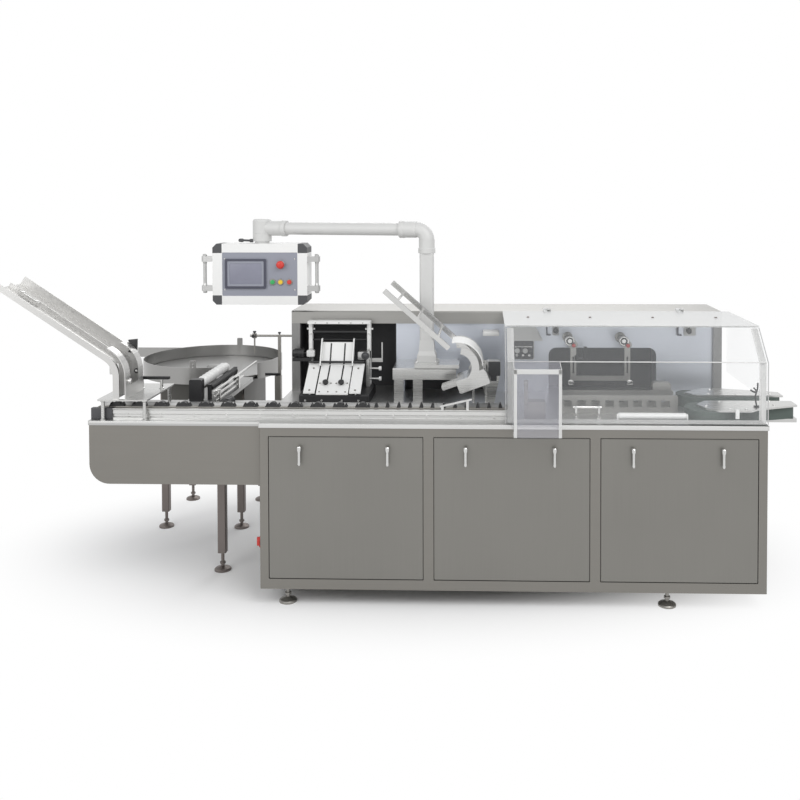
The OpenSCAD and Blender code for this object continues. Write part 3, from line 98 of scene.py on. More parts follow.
def finish(name, colour, rough, metal, grain, spread, bump, cloud=2.0, alpha=1.0):
    """A surface whose tone, gloss and relief follow a fine grain and a slow cloud."""
    m = bpy.data.materials.new(name)
    m.use_nodes = True
    t = m.node_tree
    bsdf = t.nodes["Principled BSDF"]
    bsdf.inputs["Metallic"].default_value = metal
    bsdf.inputs["Alpha"].default_value = alpha
    coord = add(t, "TexCoord")
    mapping = add(t, "Mapping", {"Scale": grain})
    fine = add(t, "TexNoise", {"Scale": 1.0, "Detail": GRAIN_DETAIL})
    slow = add(t, "TexNoise", {"Scale": cloud, "Detail": CLOUD_DETAIL})
    both = add(t, "Math", operation="ADD")
    half = add(t, "Math", {1: 0.5}, operation="MULTIPLY")
    ramp = add(t, "ValToRGB")
    low, high = ramp.color_ramp.elements
    low.position, high.position = TONE_LOW, TONE_HIGH
    low.color = [c * (1 - spread) for c in colour] + [1]
    high.color = [min(1.0, c * (1 + spread)) for c in colour] + [1]
    gloss = add(t, "MapRange", {"From Min": TONE_LOW, "From Max": TONE_HIGH,
                                "To Min": max(LEAST_ROUGH, rough * GLOSS_LOW),
                                "To Max": min(1.0, rough * GLOSS_HIGH)})
    relief = add(t, "Bump", {"Strength": bump, "Distance": RELIEF})
    link(t, coord, "Object", mapping, "Vector")
    link(t, mapping, "Vector", fine, "Vector")
    link(t, coord, "Object", slow, "Vector")
    link(t, fine, "Fac", both, 0)
    link(t, slow, "Fac", both, 1)
    link(t, both, "Value", half, 0)
    link(t, half, "Value", ramp, "Fac")
    link(t, half, "Value", gloss, "Value")
    link(t, fine, "Fac", relief, "Height")
    link(t, ramp, "Color", bsdf, "Base Color")
    link(t, gloss, "Result", bsdf, "Roughness")
    link(t, relief, "Normal", bsdf, "Normal")
    return m


def plain(name, colour, rough, grain, spread, bump):
    """A finish without metal and with an even grain."""
    return finish(name, colour, rough, 0.0, (grain, grain, grain), spread, bump)


def sheet(name, colour, rough, grain, spread, bump, alpha):
    """A finish that lets some light through."""
    return finish(name, colour, rough, 0.0, (grain, grain, grain), spread, bump, SHEET_CLOUD, alpha)


# Grain across X, Y and Z: long along X, tall along Z, drawn over the chute's slope, or even
LONG = (3, 420, 420)
TALL = (420, 420, 3)
SLOPE = (2, 24, 2)
FINE = (240, 240, 240)
POLISH = (80, 80, 80)

CABINET = finish("cabinet_steel", (0.225, 0.216, 0.198), 0.42, 0.85, LONG, 0.05, 0.04)
DOOR = finish("door_steel", (0.222, 0.216, 0.200), 0.40, 0.85, TALL, 0.05, 0.04)
SHELL = finish("shell_steel", (0.30, 0.29, 0.27), 0.38, 0.85, LONG, 0.06, 0.04)
BRIGHT = finish("bright_steel", (0.56, 0.56, 0.55), 0.28, 0.95, LONG, 0.06, 0.03)
CHUTE = finish("chute_steel", (0.58, 0.576, 0.565), 0.36, 0.9, SLOPE, 0.03, 0.01)
DISC = finish("disc_steel", (0.30, 0.30, 0.295), 0.34, 0.95, FINE, 0.05, 0.03)
# Near-black sheets in the back panel: painted shade at the back of the bay and in the slot, and the smoked
# glass's own tint in the window
SHADE_AND_SMOKE_LINING = plain("shade_and_smoke_black", (0.03, 0.03, 0.032), 0.6, 700, 0.2, 0.15)
PANEL = finish("panel_steel", (0.60, 0.63, 0.69), 0.34, 0.85, LONG, 0.06, 0.03)
DECK = finish("deck_sheet", (0.47, 0.47, 0.465), 0.34, 0.85, LONG, 0.05, 0.03)
PAN = finish("pan_steel", (0.33, 0.327, 0.32), 0.34, 0.9, FINE, 0.06, 0.03)
LINTEL = finish("lintel_steel", (0.34, 0.335, 0.32), 0.38, 0.85, LONG, 0.06, 0.04)
CHROME = finish("polished_steel", (0.62, 0.62, 0.61), 0.16, 1.0, POLISH, 0.04, 0.02)
TUBE = finish("leg_steel", (0.185, 0.163, 0.153), 0.45, 0.8, TALL, 0.07, 0.04)
# The turntable stand's sheets: steel darkened as painted shade, for the shade over the stand's front
SHADED_STAND = finish("shaded_stand_steel", (0.07, 0.068, 0.062), 0.5, 0.35, TALL, 0.07, 0.04)
WALL = finish("wall_steel", (0.25, 0.248, 0.245), 0.40, 0.85, TALL, 0.05, 0.03)
BEAM = finish("beam_steel", (0.66, 0.66, 0.65), 0.28, 0.95, LONG, 0.05, 0.03)
PALE = plain("pale_paint", (0.55, 0.55, 0.54), 0.42, 900, 0.03, 0.12)
WHITE = plain("white_plastic", (0.74, 0.74, 0.73), 0.38, 700, 0.03, 0.06)
DARK = plain("dark_plastic", (0.055, 0.056, 0.06), 0.5, 1200, 0.15, 0.2)
BLACK = plain("black_plastic", (0.012, 0.012, 0.013), 0.42, 900, 0.2, 0.15)
FACE = plain("panel_foil", (0.25, 0.26, 0.305), 0.4, 1400, 0.05, 0.06)
RED = plain("red_plastic", (0.55, 0.035, 0.025), 0.35, 500, 0.06, 0.05)
BELT = plain("green_belt", (0.07, 0.09, 0.08), 0.62, 1500, 0.2, 0.35)
CLEAR = sheet("clear_sheet", (0.86, 0.88, 0.89), 0.06, 6, 0.01, 0.003, 0.06)
FROST = sheet("pale_sheet", (0.71, 0.715, 0.71), 0.2, 300, 0.02, 0.02, 0.8)
EDGE = sheet("sheet_edge", (0.70, 0.70, 0.69), 0.25, 300, 0.03, 0.02, 0.75)
RIM = sheet("sheet_rim", (0.5, 0.5, 0.5), 0.25, 300, 0.03, 0.02, 0.85)
BAND = sheet("sheet_band", (0.66, 0.66, 0.65), 0.3, 300, 0.03, 0.02, 0.6)
GUARD = sheet("guard_sheet", (0.46, 0.46, 0.51), 0.08, 6, 0.02, 0.003, 0.22)
GREEN = plain("green_plastic", (0.03, 0.36, 0.10), 0.32, 500, 0.06, 0.05)
YELLOW = plain("yellow_plastic", (0.75, 0.50, 0.03), 0.32, 500, 0.06, 0.05)
SCREEN = finish("screen_glass", (0.22, 0.225, 0.28), 0.42, 0.0, (14, 14, 14), 0.08, 0.0, cloud=3.0)
BEZEL = plain("bezel_plastic", (0.05, 0.052, 0.075), 0.45, 1200, 0.1, 0.12)

NODE_FINISH = {
    CABINET: ["cabinet", "infeed_box"],
    DOOR: ["front_doors", "rear_doors"],
    SHELL: ["lug_chain", "end_drive", "gate_rail", "machine_feet"],
    LINTEL: ["housing_roof", "carton_rails", "gantry"],
    PAN: ["turntable_pan"],
    DECK: ["deck", "conveyor_bed", "hmi_handles"],
    TUBE: ["infeed_leg", "turntable_legs"],
    BRIGHT: ["magazine_head", "chute_base", "boom_shelf", "discharge_covers", "leaflet_trim"],
    CHUTE: ["chute_tray", "chute_guides"],
    DISC: ["turntable_disc", "lane_bridge"],
    WALL: ["housing_walls"],
    BEAM: ["conveyor_beam"],
    SHADE_AND_SMOKE_LINING: ["bay_lining"],
    PANEL: ["back_panel"],
    CHROME: ["door_handles", "lane_rails", "magazine_rails"],
    PALE: ["boom_post", "boom_arm", "pickup_box", "roof_hinges"],
    WHITE: ["timing_screw", "leaflet_frame", "leaflet_plates", "magazine_throat", "hmi_box", "guide_roller"],
    DARK: ["hmi_corners"],
    BLACK: ["chain_lugs", "ribbed_guide", "screw_drive", "leaflet_drive"],
    FACE: ["hmi_face"],
    RED: ["main_switch", "hmi_buttons"],
    BELT: ["discharge_belts"],
    CLEAR: ["hood_front", "hood_ends"],
    GUARD: ["front_guard"],
    FROST: ["hood_top"],
    EDGE: ["hood_rail"],
}


def dress(obj, material):
    """Gives a CAD node one finish all over."""
    if not obj.material_slots:
        obj.data.materials.append(material)
    for s in obj.material_slots:
        s.material = material


for mat, names in NODE_FINISH.items():
    for n in names:
        dress(NODES[n], mat)


# Shapes, gathered in drawing millimetres and set into the row frame when a piece is done

FRONT = (0, -1, 0)
REAR = (0, 1, 0)
UP = (0, 0, 1)
RIGHT = (1, 0, 0)
# Angles past which an edge shades sharp, and past which a prism's edge is eased
CREASE = math.radians(38)
EASED = math.radians(35)
MERGE = 0.001
POINT_R = 0.05
ROUND_STEPS = 5
HEAD_SIDES, KNOB_SIDES = 16, 20
# A direction that no tube runs along
TUBE_UP = (0.13, 0.31, 0.94)

# Where a prism's outline lies: the outline's two values and the place along the axis make a point
PRISM_POINT = {
    "x": lambda u, v, t: (t, u, v),
    "y": lambda u, v, t: (u, t, v),
    "z": lambda u, v, t: (u, v, t),
}


def loop(cx, cy, r, a0, a1, n):
    """Points of an arc in a plane, in degrees."""
    turns = [math.radians(a0 + (a1 - a0) * i / n) for i in range(n + 1)]
    return [(cx + r * math.cos(a), cy + r * math.sin(a)) for a in turns]


def rounded(x, y, w, h, r):
    """A rectangle with round corners."""
    n = ROUND_STEPS
    return (loop(x + w - r, y + r, r, -90, 0, n) + loop(x + w - r, y + h - r, r, 0, 90, n)
            + loop(x + r, y + h - r, r, 90, 180, n) + loop(x + r, y + r, r, 180, 270, n))


def cut_top(x0, x1, low, high, cut):
    """A rectangle with its upper corners cut off."""
    return [(x0, low), (x1, low), (x1, high - cut), (x1 - cut, high), (x0 + cut, high), (x0, high - cut)]


def axes(along):
    """A direction at unit length, with two more that are square to it and to each other."""
    way = Vector(along).normalized()
    side = way.orthogonal().normalized()
    return way, side, way.cross(side)


def circle(centre, u, v, r, n):
    """Points of a circle in the plane of two unit directions."""
    turns = [2 * math.pi * i / n for i in range(n)]
    return [centre + (u * math.cos(a) + v * math.sin(a)) * r for a in turns]


def smooth_path(points, steps):
    """A curve through the given points."""
    p = [Vector(q) for q in points]
    p = [2 * p[0] - p[1]] + p + [2 * p[-1] - p[-2]]
    out = []
    for a, b, c, d in zip(p, p[1:], p[2:], p[3:]):
        for k in range(steps):
            t = k / steps
            out.append(0.5 * ((2 * b) + (c - a) * t + (2 * a - 5 * b + 4 * c - d) * t ** 2
                              + (3 * b - a - 3 * c + d) * t ** 3))
    return out + [p[-2]]


class Form:
    """One piece under construction."""

    def __init__(self):
        self.bm = bmesh.new()

    def rings(self, rings, closed=True):
        """A skin over rings of equal length, closed at its ends."""
        made = [[self.bm.verts.new(p) for p in ring] for ring in rings]
        n = len(made[0])
        for a, b in zip(made, made[1:]):
            for i in range(n):
                self.bm.faces.new((a[i], a[(i + 1) % n], b[(i + 1) % n], b[i]))
        if closed:
            self.bm.faces.new(list(reversed(made[0])))
            self.bm.faces.new(made[-1])
        return self

    def turned(self, profile, foot, along, n):
        """A turned shape: pairs of radius and height from a foot point along a direction."""
        way, side, other = axes(along)
        foot = Vector(foot)
        return self.rings([circle(foot + way * t, side, other, max(r, POINT_R), n) for r, t in profile])

    def ring(self, r, wire, foot, along, n=28, m=10):
        """A round ring of round wire."""
        way, side, other = axes(along)
        foot = Vector(foot)
        made = [circle(p, (p - foot).normalized(), way, wire, m) for p in circle(foot, side, other, r, n)]
        return self.rings(made + [made[0]], closed=False)

    def rod(self, a, b, r, n=16):
        """A straight round bar with eased ends."""
        a, b = Vector(a), Vector(b)
        length = (b - a).length
        e = min(r * 0.25, length * 0.2)
        return self.turned([(r - e, 0), (r, e), (r, length - e), (r - e, length)], a, b - a, n)

    def tube(self, points, r, n, steps=8):
        """A round bar along a curve."""
        path = smooth_path(points, steps)
        up = Vector(TUBE_UP)
        made = []
        for i, p in enumerate(path):
            way = (path[min(i + 1, len(path) - 1)] - path[max(i - 1, 0)]).normalized()
            side = way.cross(up).normalized()
            up = side.cross(way)
            made.append(circle(p, side, up, r, n))
        return self.rings(made)

    def prism(self, outline, axis, start, length, edge):
        """An outline drawn out along an axis, with eased edges. It lies in XY, XZ or YZ."""
        put = PRISM_POINT[axis]
        b = bmesh.new()
        low = [b.verts.new(put(u, v, start)) for u, v in outline]
        high = [b.verts.new(put(u, v, start + length)) for u, v in outline]
        n = len(outline)
        b.faces.new(low)
        b.faces.new(list(reversed(high)))
        for i in range(n):
            b.faces.new((low[i], high[i], high[(i + 1) % n], low[(i + 1) % n]))
        bmesh.ops.recalc_face_normals(b, faces=b.faces[:])
        sharp = [e for e in b.edges if e.calc_face_angle(0) > EASED]
        bmesh.ops.bevel(b, geom=sharp, offset=edge, segments=2, profile=0.5, affect="EDGES",
                        clamp_overlap=True)
        made = {v: self.bm.verts.new(v.co) for v in b.verts}
        for f in b.faces:
            self.bm.faces.new([made[v] for v in f.verts])
        b.free()
        return self

    def frame(self, outer, inner, y, depth, slant):
        """A flat frame between two outlines of XZ points, its face falling back towards the outer one."""
        levels = ((outer, depth), (outer, slant), (inner, 0), (inner, depth))
        made = [[(u, y + d, v) for u, v in outline] for outline, d in levels]
        return self.rings(made + [made[0]], closed=False)

    def screws(self, places, along, r):
        """Socket-head screws."""
        side = [(r, 0), (r, r * 0.5), (r * 0.85, r * 0.75), (r * 0.5, r * 0.75), (r * 0.42, r * 0.4),
                (r * 0.1, r * 0.4)]
        for place in places:
            self.turned(side, place, along, HEAD_SIDES)
        return self

    def knobs(self, places, along, r, h):
        """Round clamping knobs on short necks."""
        side = [(r * 0.45, 0), (r * 0.45, h * 0.35), (r * 0.9, h * 0.42), (r, h * 0.5), (r, h * 0.85),
                (r * 0.85, h), (r * 0.2, h)]
        for place in places:
            self.turned(side, place, along, KNOB_SIDES)
        return self

    def done(self, name, material, body="machine", slot="bright_steel"):
        """Sets the piece into the row frame and hands it to its body."""
        bmesh.ops.remove_doubles(self.bm, verts=self.bm.verts[:], dist=MERGE)
        for v in self.bm.verts:
            v.co = at(*v.co)
        bmesh.ops.recalc_face_normals(self.bm, faces=self.bm.faces[:])
        me = bpy.data.meshes.new(name)
        self.bm.to_mesh(me)
        self.bm.free()
        me.polygons.foreach_set("use_smooth", [True] * len(me.polygons))
        me.set_sharp_from_angle(angle=CREASE)
        me.materials.append(material)
        obj = into_scene(name, me)
        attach(obj, body)
        return obj


# Places from the construction drawing: the deck's top, the cabinet's right end, the infeed box's left end,
# the front of the back panel, the axes of the control panel and of the arm's post

TOP = 820.0
END_X = 1263.0
INFEED_X = -1744.0
PANEL_Y = 690.0
PAN_X, PAN_Y = -1117.3, 689.1
POST_X, POST_Y = -255.0, 490.0
# How far a fitting is sunk into what carries it
SINK = 0.5


# Control panel: the fronts of its box and of its foil, the foil's lower left corner, screen and buttons

BOX_Y, FOIL_Y = PAN_Y - 60, PAN_Y - 58
FACE_X, FACE_Z = PAN_X - 193, 1316.0
SCREEN_X, SCREEN_Z = FACE_X + 17, FACE_Z + 39
SCREEN_W, SCREEN_H = 209.0, 150.0
BUTTON_Z = 1387.0
STOP = (PAN_X + 109, FOIL_Y, 1476.0)
CAPS = {"green": (66, GREEN), "yellow": (107, YELLOW), "red": (152, RED)}
COLLAR_SIDE = [(17, 0), (17, 3), (15.5, 4.6), (12.5, 4.8), (12.2, 3)]
CAP_SIDE = [(11.6, 2), (11.6, 8.5), (10.4, 10), (6, 10.6), (0.1, 10.8)]
STOP_COLLAR_SIDE = [(19, 0), (19, 2.5), (16, 5), (13, 5.5), (12, 14), (9, 14)]
MUSHROOM_SIDE = [(12, 12), (19, 13), (20.4, 16), (20.4, 21), (18.5, 25.5), (13, 28.6), (6, 30),
                 (0.1, 30.3)]


def screen_outline(inset, r):
    """The screen's outline, set in on all sides."""
    return rounded(SCREEN_X + inset, SCREEN_Z + inset, SCREEN_W - 2 * inset, SCREEN_H - 2 * inset, r)


def screen():
    f = Form().frame(screen_outline(-1, 6), screen_outline(11, 4), BOX_Y - 7.6, 2, 0.5)
    f.done("screen_bezel", BEZEL, "panel", "dark_plastic")
    f = Form().prism(screen_outline(21, 3), "y", BOX_Y - 4.4, 1.8, 0.4)
    f.done("screen_glass", SCREEN, "panel", "panel_grey")


def buttons():
    places = {name: (PAN_X + dx, FOIL_Y, BUTTON_Z) for name, (dx, _) in CAPS.items()}
    f = Form()
    for place in places.values():
        f.turned(COLLAR_SIDE, place, FRONT, 28)
    f.turned(STOP_COLLAR_SIDE, STOP, FRONT, 28)
    collars = f.done("button_collars", SHELL, "panel")
    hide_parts("hmi_buttons")
    for name, (_, material) in CAPS.items():
        f = Form().turned(CAP_SIDE, places[name], FRONT, 28)
        f.done("cap_" + name, material, "panel", "red_plastic")
    f = Form().turned(MUSHROOM_SIDE, STOP, FRONT, 36)
    f.done("stop_mushroom", RED, "panel", "red_plastic")


def face_screws():
    places = [(PAN_X + dx, FOIL_Y, FACE_Z + dz) for dx in (-180, 180) for dz in (32, 190)]
    f = Form().screws(places, FRONT, 4.5)
    f.done("face_screws", CHROME, "panel")


# Swinging arm

FLANGE_Z, CLAMP_Z, ARM_Z = 1013.0, 1597.0, 1660.0
LEVER_SIDE = [(5, 0), (8, 2), (9.5, 8), (9, 20), (6.5, 26), (0.1, 28)]
COLLAR_OUT, COLLAR_L, COLLAR_BORE = 112, 26, 30


def post_screws():
    places = [(POST_X + dx, POST_Y + dy, FLANGE_Z) for dx in (-46, 46) for dy in (-46, 46)]
    f = Form().screws(places, UP, 6)
    f.done("post_screws", CHROME)


def clamp_lever():
    """The lever that locks the panel's swivel: a boss, a bent neck and a grip."""
    x, y, z = PAN_X, PAN_Y, CLAMP_Z
    f = Form()
    f.turned([(9, 0), (9, 14), (7, 18)], (x - 44, y - 14, z), (-0.93, -0.37, 0), 20)
    f.tube([(x - 56, y - 19, z), (x - 72, y - 24, z + 1), (x - 92, y - 31, z + 2)], 5.5, 14)
    f.turned(LEVER_SIDE, (x - 88, y - 30, z + 2), (-0.93, -0.33, 0.02), 20)
    f.done("clamp_lever", DARK, "boom", "dark_plastic")


def arm_collars():
    """Rings around the arm where its sockets end."""
    panel_end, post_end = Vector((PAN_X, PAN_Y, ARM_Z)), Vector((POST_X, POST_Y, ARM_Z))
    along = (panel_end - post_end).normalized()
    f = Form()
    for hub, way, r in ((panel_end, -along, 41), (post_end, along, 43)):
        side = [(COLLAR_BORE, 0), (r - 1.5, 0), (r, 2), (r, COLLAR_L - 2), (r - 1.5, COLLAR_L),
                (COLLAR_BORE, COLLAR_L)]
        f.turned(side, hub + way * COLLAR_OUT, way, 40)
    f.done("arm_collars", PALE, "boom", "pale_paint")


# Leaflet folder, from the left front corner of its base's top

FOLD_X, FOLD_Y, FOLD_Z = -867.0, 372.0, TOP + 46
FOLD_W, FOLD_H = 318.0, 322.0
FOLD_X1 = FOLD_X + FOLD_W
PLATE_T, RAMP_D, SLOT_W = 6, 160, 7
RAMP = math.tan(math.radians(34.8))
RAMP_UP = Vector((0, -RAMP, 1)).normalized()
UPPER_Z = FOLD_Z + PLATE_T + RAMP_D * RAMP
KNOB_Z, MOTOR_Z = FOLD_Z + FOLD_H * 0.42 + 20, FOLD_Z + FOLD_H * 0.45 + 16


def ramp_line(dy, up):
    """A point over the folder's slope, seen from the side."""
    return (FOLD_Y + dy, FOLD_Z + up + dy * RAMP)


def on_ramp(dx, dy, up):
    """A screw's place on the folder's slope, a little sunk in."""
    return Vector((FOLD_X + dx, *ramp_line(dy, up))) - RAMP_UP * SINK


def ramp_screws():
    mid_places = [(dx, 56) for dx in (92, 146, 172, 226)] + [(dx, 10) for dx in (96, 138, 180, 222)]
    f = Form()
    f.screws([on_ramp(dx, dy, 2 * PLATE_T) for dx in (48, 270) for dy in (12, 132)], RAMP_UP, 5)
    f.screws([on_ramp(dx, dy, PLATE_T) for dx, dy in mid_places], RAMP_UP, 4)
    f.done("ramp_screws", SHELL)


def leaflet_slots():
    """Black strips in the slots of both plates, and the rods that cross behind them."""
    low, high = 70, 156
    strip = [ramp_line(low, 5), ramp_line(high, 5), ramp_line(high, 7.4), ramp_line(low, 7.4)]
    f = Form()
    for dx in (122, 190):
        f.prism(strip, "x", FOLD_X + dx, SLOT_W, 0.5)
    strip = [(FOLD_Y + 158.5, UPPER_Z + 3), (FOLD_Y + 160.5, UPPER_Z + 3), (FOLD_Y + 210, UPPER_Z + 100),
             (FOLD_Y + 208, UPPER_Z + 100)]
    for dx in (120.4, 190.2):
        f.prism(strip, "x", FOLD_X + dx, SLOT_W, 0.4)
    top = FOLD_Z + FOLD_H
    for inset, dy, z, r in ((22, 148, UPPER_Z + 16, 5.5), (12, 265, top - 56, 9), (12, 268, top - 96, 5)):
        f.rod((FOLD_X + inset, FOLD_Y + dy, z), (FOLD_X1 - inset, FOLD_Y + dy, z), r)
    f.done("leaflet_slots", BLACK, slot="dark_plastic")


def trim_knobs():
    places = [(FOLD_X1 + 36, FOLD_Y + 210, FOLD_Z + FOLD_H * h) for h in (0.12, 0.28)]
    f = Form().knobs(places, RIGHT, 11, 22)
    f.done("trim_knobs", WHITE, slot="white_plastic")


def frame_screws():
    heights = (0.14, 0.34, 0.56, 0.8)
    columns = [(x, FOLD_Y + 250, FOLD_Z + FOLD_H * h) for h in heights for x in (FOLD_X + 10, FOLD_X1 - 10)]
    cover = [(FOLD_X + dx, FOLD_Y + 222, FOLD_Z + FOLD_H - 4) for dx in range(40, 281, 60)]
    f = Form().screws(columns, FRONT, 5).screws(cover, FRONT, 4)
    f.done("frame_screws", CHROME)


def ring_knob():
    x = FOLD_X1 - 22
    f = Form()
    f.ring(16, 4, (x, FOLD_Y + 196, KNOB_Z), FRONT)
    f.turned([(13.5, 0), (13.5, 7), (11, 9), (0.1, 9.4)], (x, FOLD_Y + 201, KNOB_Z), FRONT, 24)
    f.done("ring_knob", DARK, slot="dark_plastic")


def motor_fins():
    f = Form()
    for i in range(7):
        f.ring(22.6, 1.7, (FOLD_X - 67 + i * 6, FOLD_Y + 240, MOTOR_Z), RIGHT, 32, 6)
    f.done("motor_fins", BLACK, slot="dark_plastic")


def base_screws():
    f = Form().screws([(FOLD_X + dx, FOLD_Y + 0.4, TOP + 20) for dx in (30, 110, 208, 288)], FRONT, 6)
    f.done("base_screws", CHROME)


# Fittings on the back panel of the rear housing

FITTING_Z = 1136.0
KNOB_SIDE = [(6, 0), (6, 6), (13, 8), (14, 12), (14, 20), (11, 24), (4, 25)]


def on_panel(f, outline, depth, edge):
    """A prism that stands so deep on the back panel."""
    return f.prism(outline, "y", PANEL_Y + SINK - depth, depth, edge)


def corner_brackets():
    low, high = 1112, 1158
    f = Form()
    for x in (345, 1010):
        angle = [(x, low), (x + 22, low), (x + 22, low + 5), (x + 5, low + 5), (x + 5, high), (x, high)]
        on_panel(f, angle, 22.5, 0.8)
    f.done("corner_brackets", BEZEL, slot="dark_plastic")


def knob_plates():
    f = Form()
    for x, w in ((376, 34), (1044, 62)):
        on_panel(f, rounded(x, FITTING_Z - 26, w, 52, 5), 4.5, 1)
    f.done("knob_plates", PALE, slot="pale_paint")


def panel_knobs():
    f = Form()
    for x in (393, 1068):
        f.turned(KNOB_SIDE, (x, PANEL_Y - 3.5, FITTING_Z), FRONT, 22)
        f.prism(rounded(x - 4, FITTING_Z, 8, 24, 3), "y", PANEL_Y - 26, 10, 1)
    f.done("panel_knobs", BLACK, slot="dark_plastic")


def light_bar():
    f = on_panel(Form(), cut_top(20, 102, 1118, 1140, 4), 86.5, 2)
    f.done("light_bar", WHITE, slot="white_plastic")


# Carton magazine

BAR_SIDE = [(-172, 881), (-168, 880), (-29, 912), (-27, 915), (-28, 919), (-32, 920), (-170, 888),
            (-173, 885)]
BAR_Y, BAR_RISE = 60.0, 0.23


def magazine_sensor():
    """A dark box with a smaller one under it."""
    f = Form()
    f.prism(rounded(46, 966, 58, 68, 5), "y", 350, 60, 1.5)
    f.prism(rounded(56, 940, 30, 30, 3), "y", 356, 44, 1)
    f.done("magazine_sensor", DARK, slot="dark_plastic")


def guide_bar():
    """A rising bar on two flat posts."""
    first = -160
    f = Form().prism(BAR_SIDE, "y", BAR_Y, 8, 1)
    for x in (first, -48):
        f.prism(rounded(x - 6, 862, 12, 26 + (x - first) * BAR_RISE, 2), "y", BAR_Y + 1, 6, 0.8)
    f.done("guide_bar", CHROME)


# Carton line under the hood

HOOD_X, HOOD_TOP, KNEE = 120.0, 1238.0, 1098.0
BOSS_X, BOSS_Z = (453.0, 721.0), 1102.0
LINK_DX, LINK_Z = 18, 1082.0
GANTRY_Y = 560.0
COVER_Z = 882.0
BEARING_SIDE = [(25, 0), (25, 5), (22, 8), (18, 8), (17, 5), (11, 5), (10, 9), (4, 9.5)]
LEVER_BEND = [(1240, 885), (1236, 905), (1233, 925), (1237, 945), (1243, 965), (1244, 990)]
LEVER_ARM = [(1240, 947), (1226, 950), (1212, 958)]
LEVER_PRONG = [(1238, 955), (1226, 968)]
COVER_SCREWS = [(1020, 110), (1110, 48), (1180, 48), (1330, 140), (1330, 205), (1100, 200), (1090, 360),
                (1220, 360), (1380, 360), (1120, 460)]
PICKUP_X, PICKUP_Y, PICKUP_Z = HOOD_X + 42, 622.0, 1171.0
BRACKET_SIDE = [(476, 1000), (541, 1000), (541, 1012), (500, 1016), (492, 1030), (476, 1030)]


def links():
    """The bearings of the two links, their seals and their red knobs."""
    f = Form()
    for x in BOSS_X:
        f.turned(BEARING_SIDE, (x, GANTRY_Y + 0.5, BOSS_Z), FRONT, 36)
        f.turned([(10, 0), (10, 5), (8, 7), (8, 10)], (x + LINK_DX, GANTRY_Y + 1, LINK_Z), FRONT, 24)
    f.done("link_bearings", CHROME)
    f = Form()
    for x in BOSS_X:
        f.ring(14.2, 2.8, (x, GANTRY_Y - 5.4, BOSS_Z), FRONT)
    f.done("bearing_seals", BLACK, slot="dark_plastic")
    f = Form().knobs([(x + LINK_DX, GANTRY_Y - 8, LINK_Z) for x in BOSS_X], FRONT, 10, 18)
    f.done("link_knobs", RED, slot="red_plastic")


def bar_ends():
    y, low, high = 553, 884, 908
    f = Form()
    for x in (444, 738):
        shoe = [(x, low), (x + 28, low), (x + 28, low + 16), (x + 20, high), (x + 6, high), (x, high - 6)]
        f.prism(shoe, "y", y, 20, 1.5)
        f.screws([(x + 9, y + SINK, low + 10)], FRONT, 5)
    f.done("bar_ends", CHROME)


def cross_rod():
    """A rod on two footed posts."""
    y, z, foot, neck = 120, 871, 9, 5
    f = Form().rod((426, y, z), (557, y, z), 6)
    for x in (440, 543):
        post = [(x - foot, TOP), (x + foot, TOP), (x + foot, TOP + 6), (x + neck, TOP + 10),
                (x + neck, z + 8), (x - neck, z + 8), (x - neck, TOP + 10), (x - foot, TOP + 6)]
        f.prism(post, "y", y - 8, 16, 1)
    f.done("cross_rod", CHROME)


def cover_clip():
    """A clip bent over the front cover's edge: its front and its top."""
    x0, x1 = 1126, 1143
    f = Form().prism(cut_top(x0, x1, 846, 885, 5), "y", 17, 7.4, 1)
    f.prism(rounded(x0, 18, x1 - x0, 22, 3), "z", COVER_Z - 0.4, 3.5, 1)
    f.done("cover_clip", WHITE, slot="white_plastic")


def cover_lever():
    y = 95
    f = Form().prism(rounded(1228, y - 11, 26, 22, 4), "z", COVER_Z - SINK, 6, 1)
    for line, r in ((LEVER_BEND, 3.6), (LEVER_ARM, 4.2), (LEVER_PRONG, 3.4)):
        f.tube([(x, y, z) for x, z in line], r, 12)
    f.done("cover_lever", BLACK, slot="dark_plastic")


def cover_screws():
    f = Form().screws([(x, y, COVER_Z - 0.2) for x, y in COVER_SCREWS], UP, 5.5)
    f.done("cover_screws", CHROME)


def pickup():
    """The dark front of the carton pick-up, with its knobs and rail."""
    x, y, rail_z = PICKUP_X, PICKUP_Y - 6, PICKUP_Z - 108
    f = Form().prism(rounded(x + 16, PICKUP_Z - 172, 98, 92, 6), "y", PICKUP_Y, 6, 1)
    f.done("pickup_front", DARK, slot="dark_plastic")
    f = Form().knobs([(x + dx, PICKUP_Y + SINK, PICKUP_Z - 150) for dx in (30, 60, 92)], FRONT, 7, 18)
    f.rod((x + 20, y, rail_z), (x + 108, y, rail_z), 4)
    for dx in (26, 102):
        f.rod((x + dx, y + 7, rail_z), (x + dx, y - 5, rail_z), 5)
    f.done("pickup_fittings", CHROME)


def sensor_bracket():
    f = Form().prism(BRACKET_SIDE, "y", GANTRY_Y, 14, 1)
    f.prism(rounded(522, 1010, 18, 62, 3), "y", GANTRY_Y, 14, 1)
    f.done("sensor_bracket", BLACK, slot="dark_plastic")


# Hood and its front guard

HOOD_SET = 144.0
GUARD_X, GUARD_X1, GUARD_LOW, GUARD_TOP = HOOD_X + 34, HOOD_X + 238, 788.0, KNEE - 17
GUARD_Y = -99.0
BAND_Y, BAND_Y1, BAND_Z = 8.4, 9.6, 842.0
BAND_SIDE = [(BAND_Y, BAND_Z), (BAND_Y1, BAND_Z), (BAND_Y1, KNEE - 5), (HOOD_SET - 1, HOOD_TOP - 14),
             (HOOD_SET - 1, HOOD_TOP - 12), (BAND_Y, KNEE - 3)]


def hood_screws():
    f = Form().screws([(x, 414, HOOD_TOP - SINK) for x in (238, 536, 836, 1137)], UP, 6.5)
    f.done("hood_screws", TUBE, "hood")


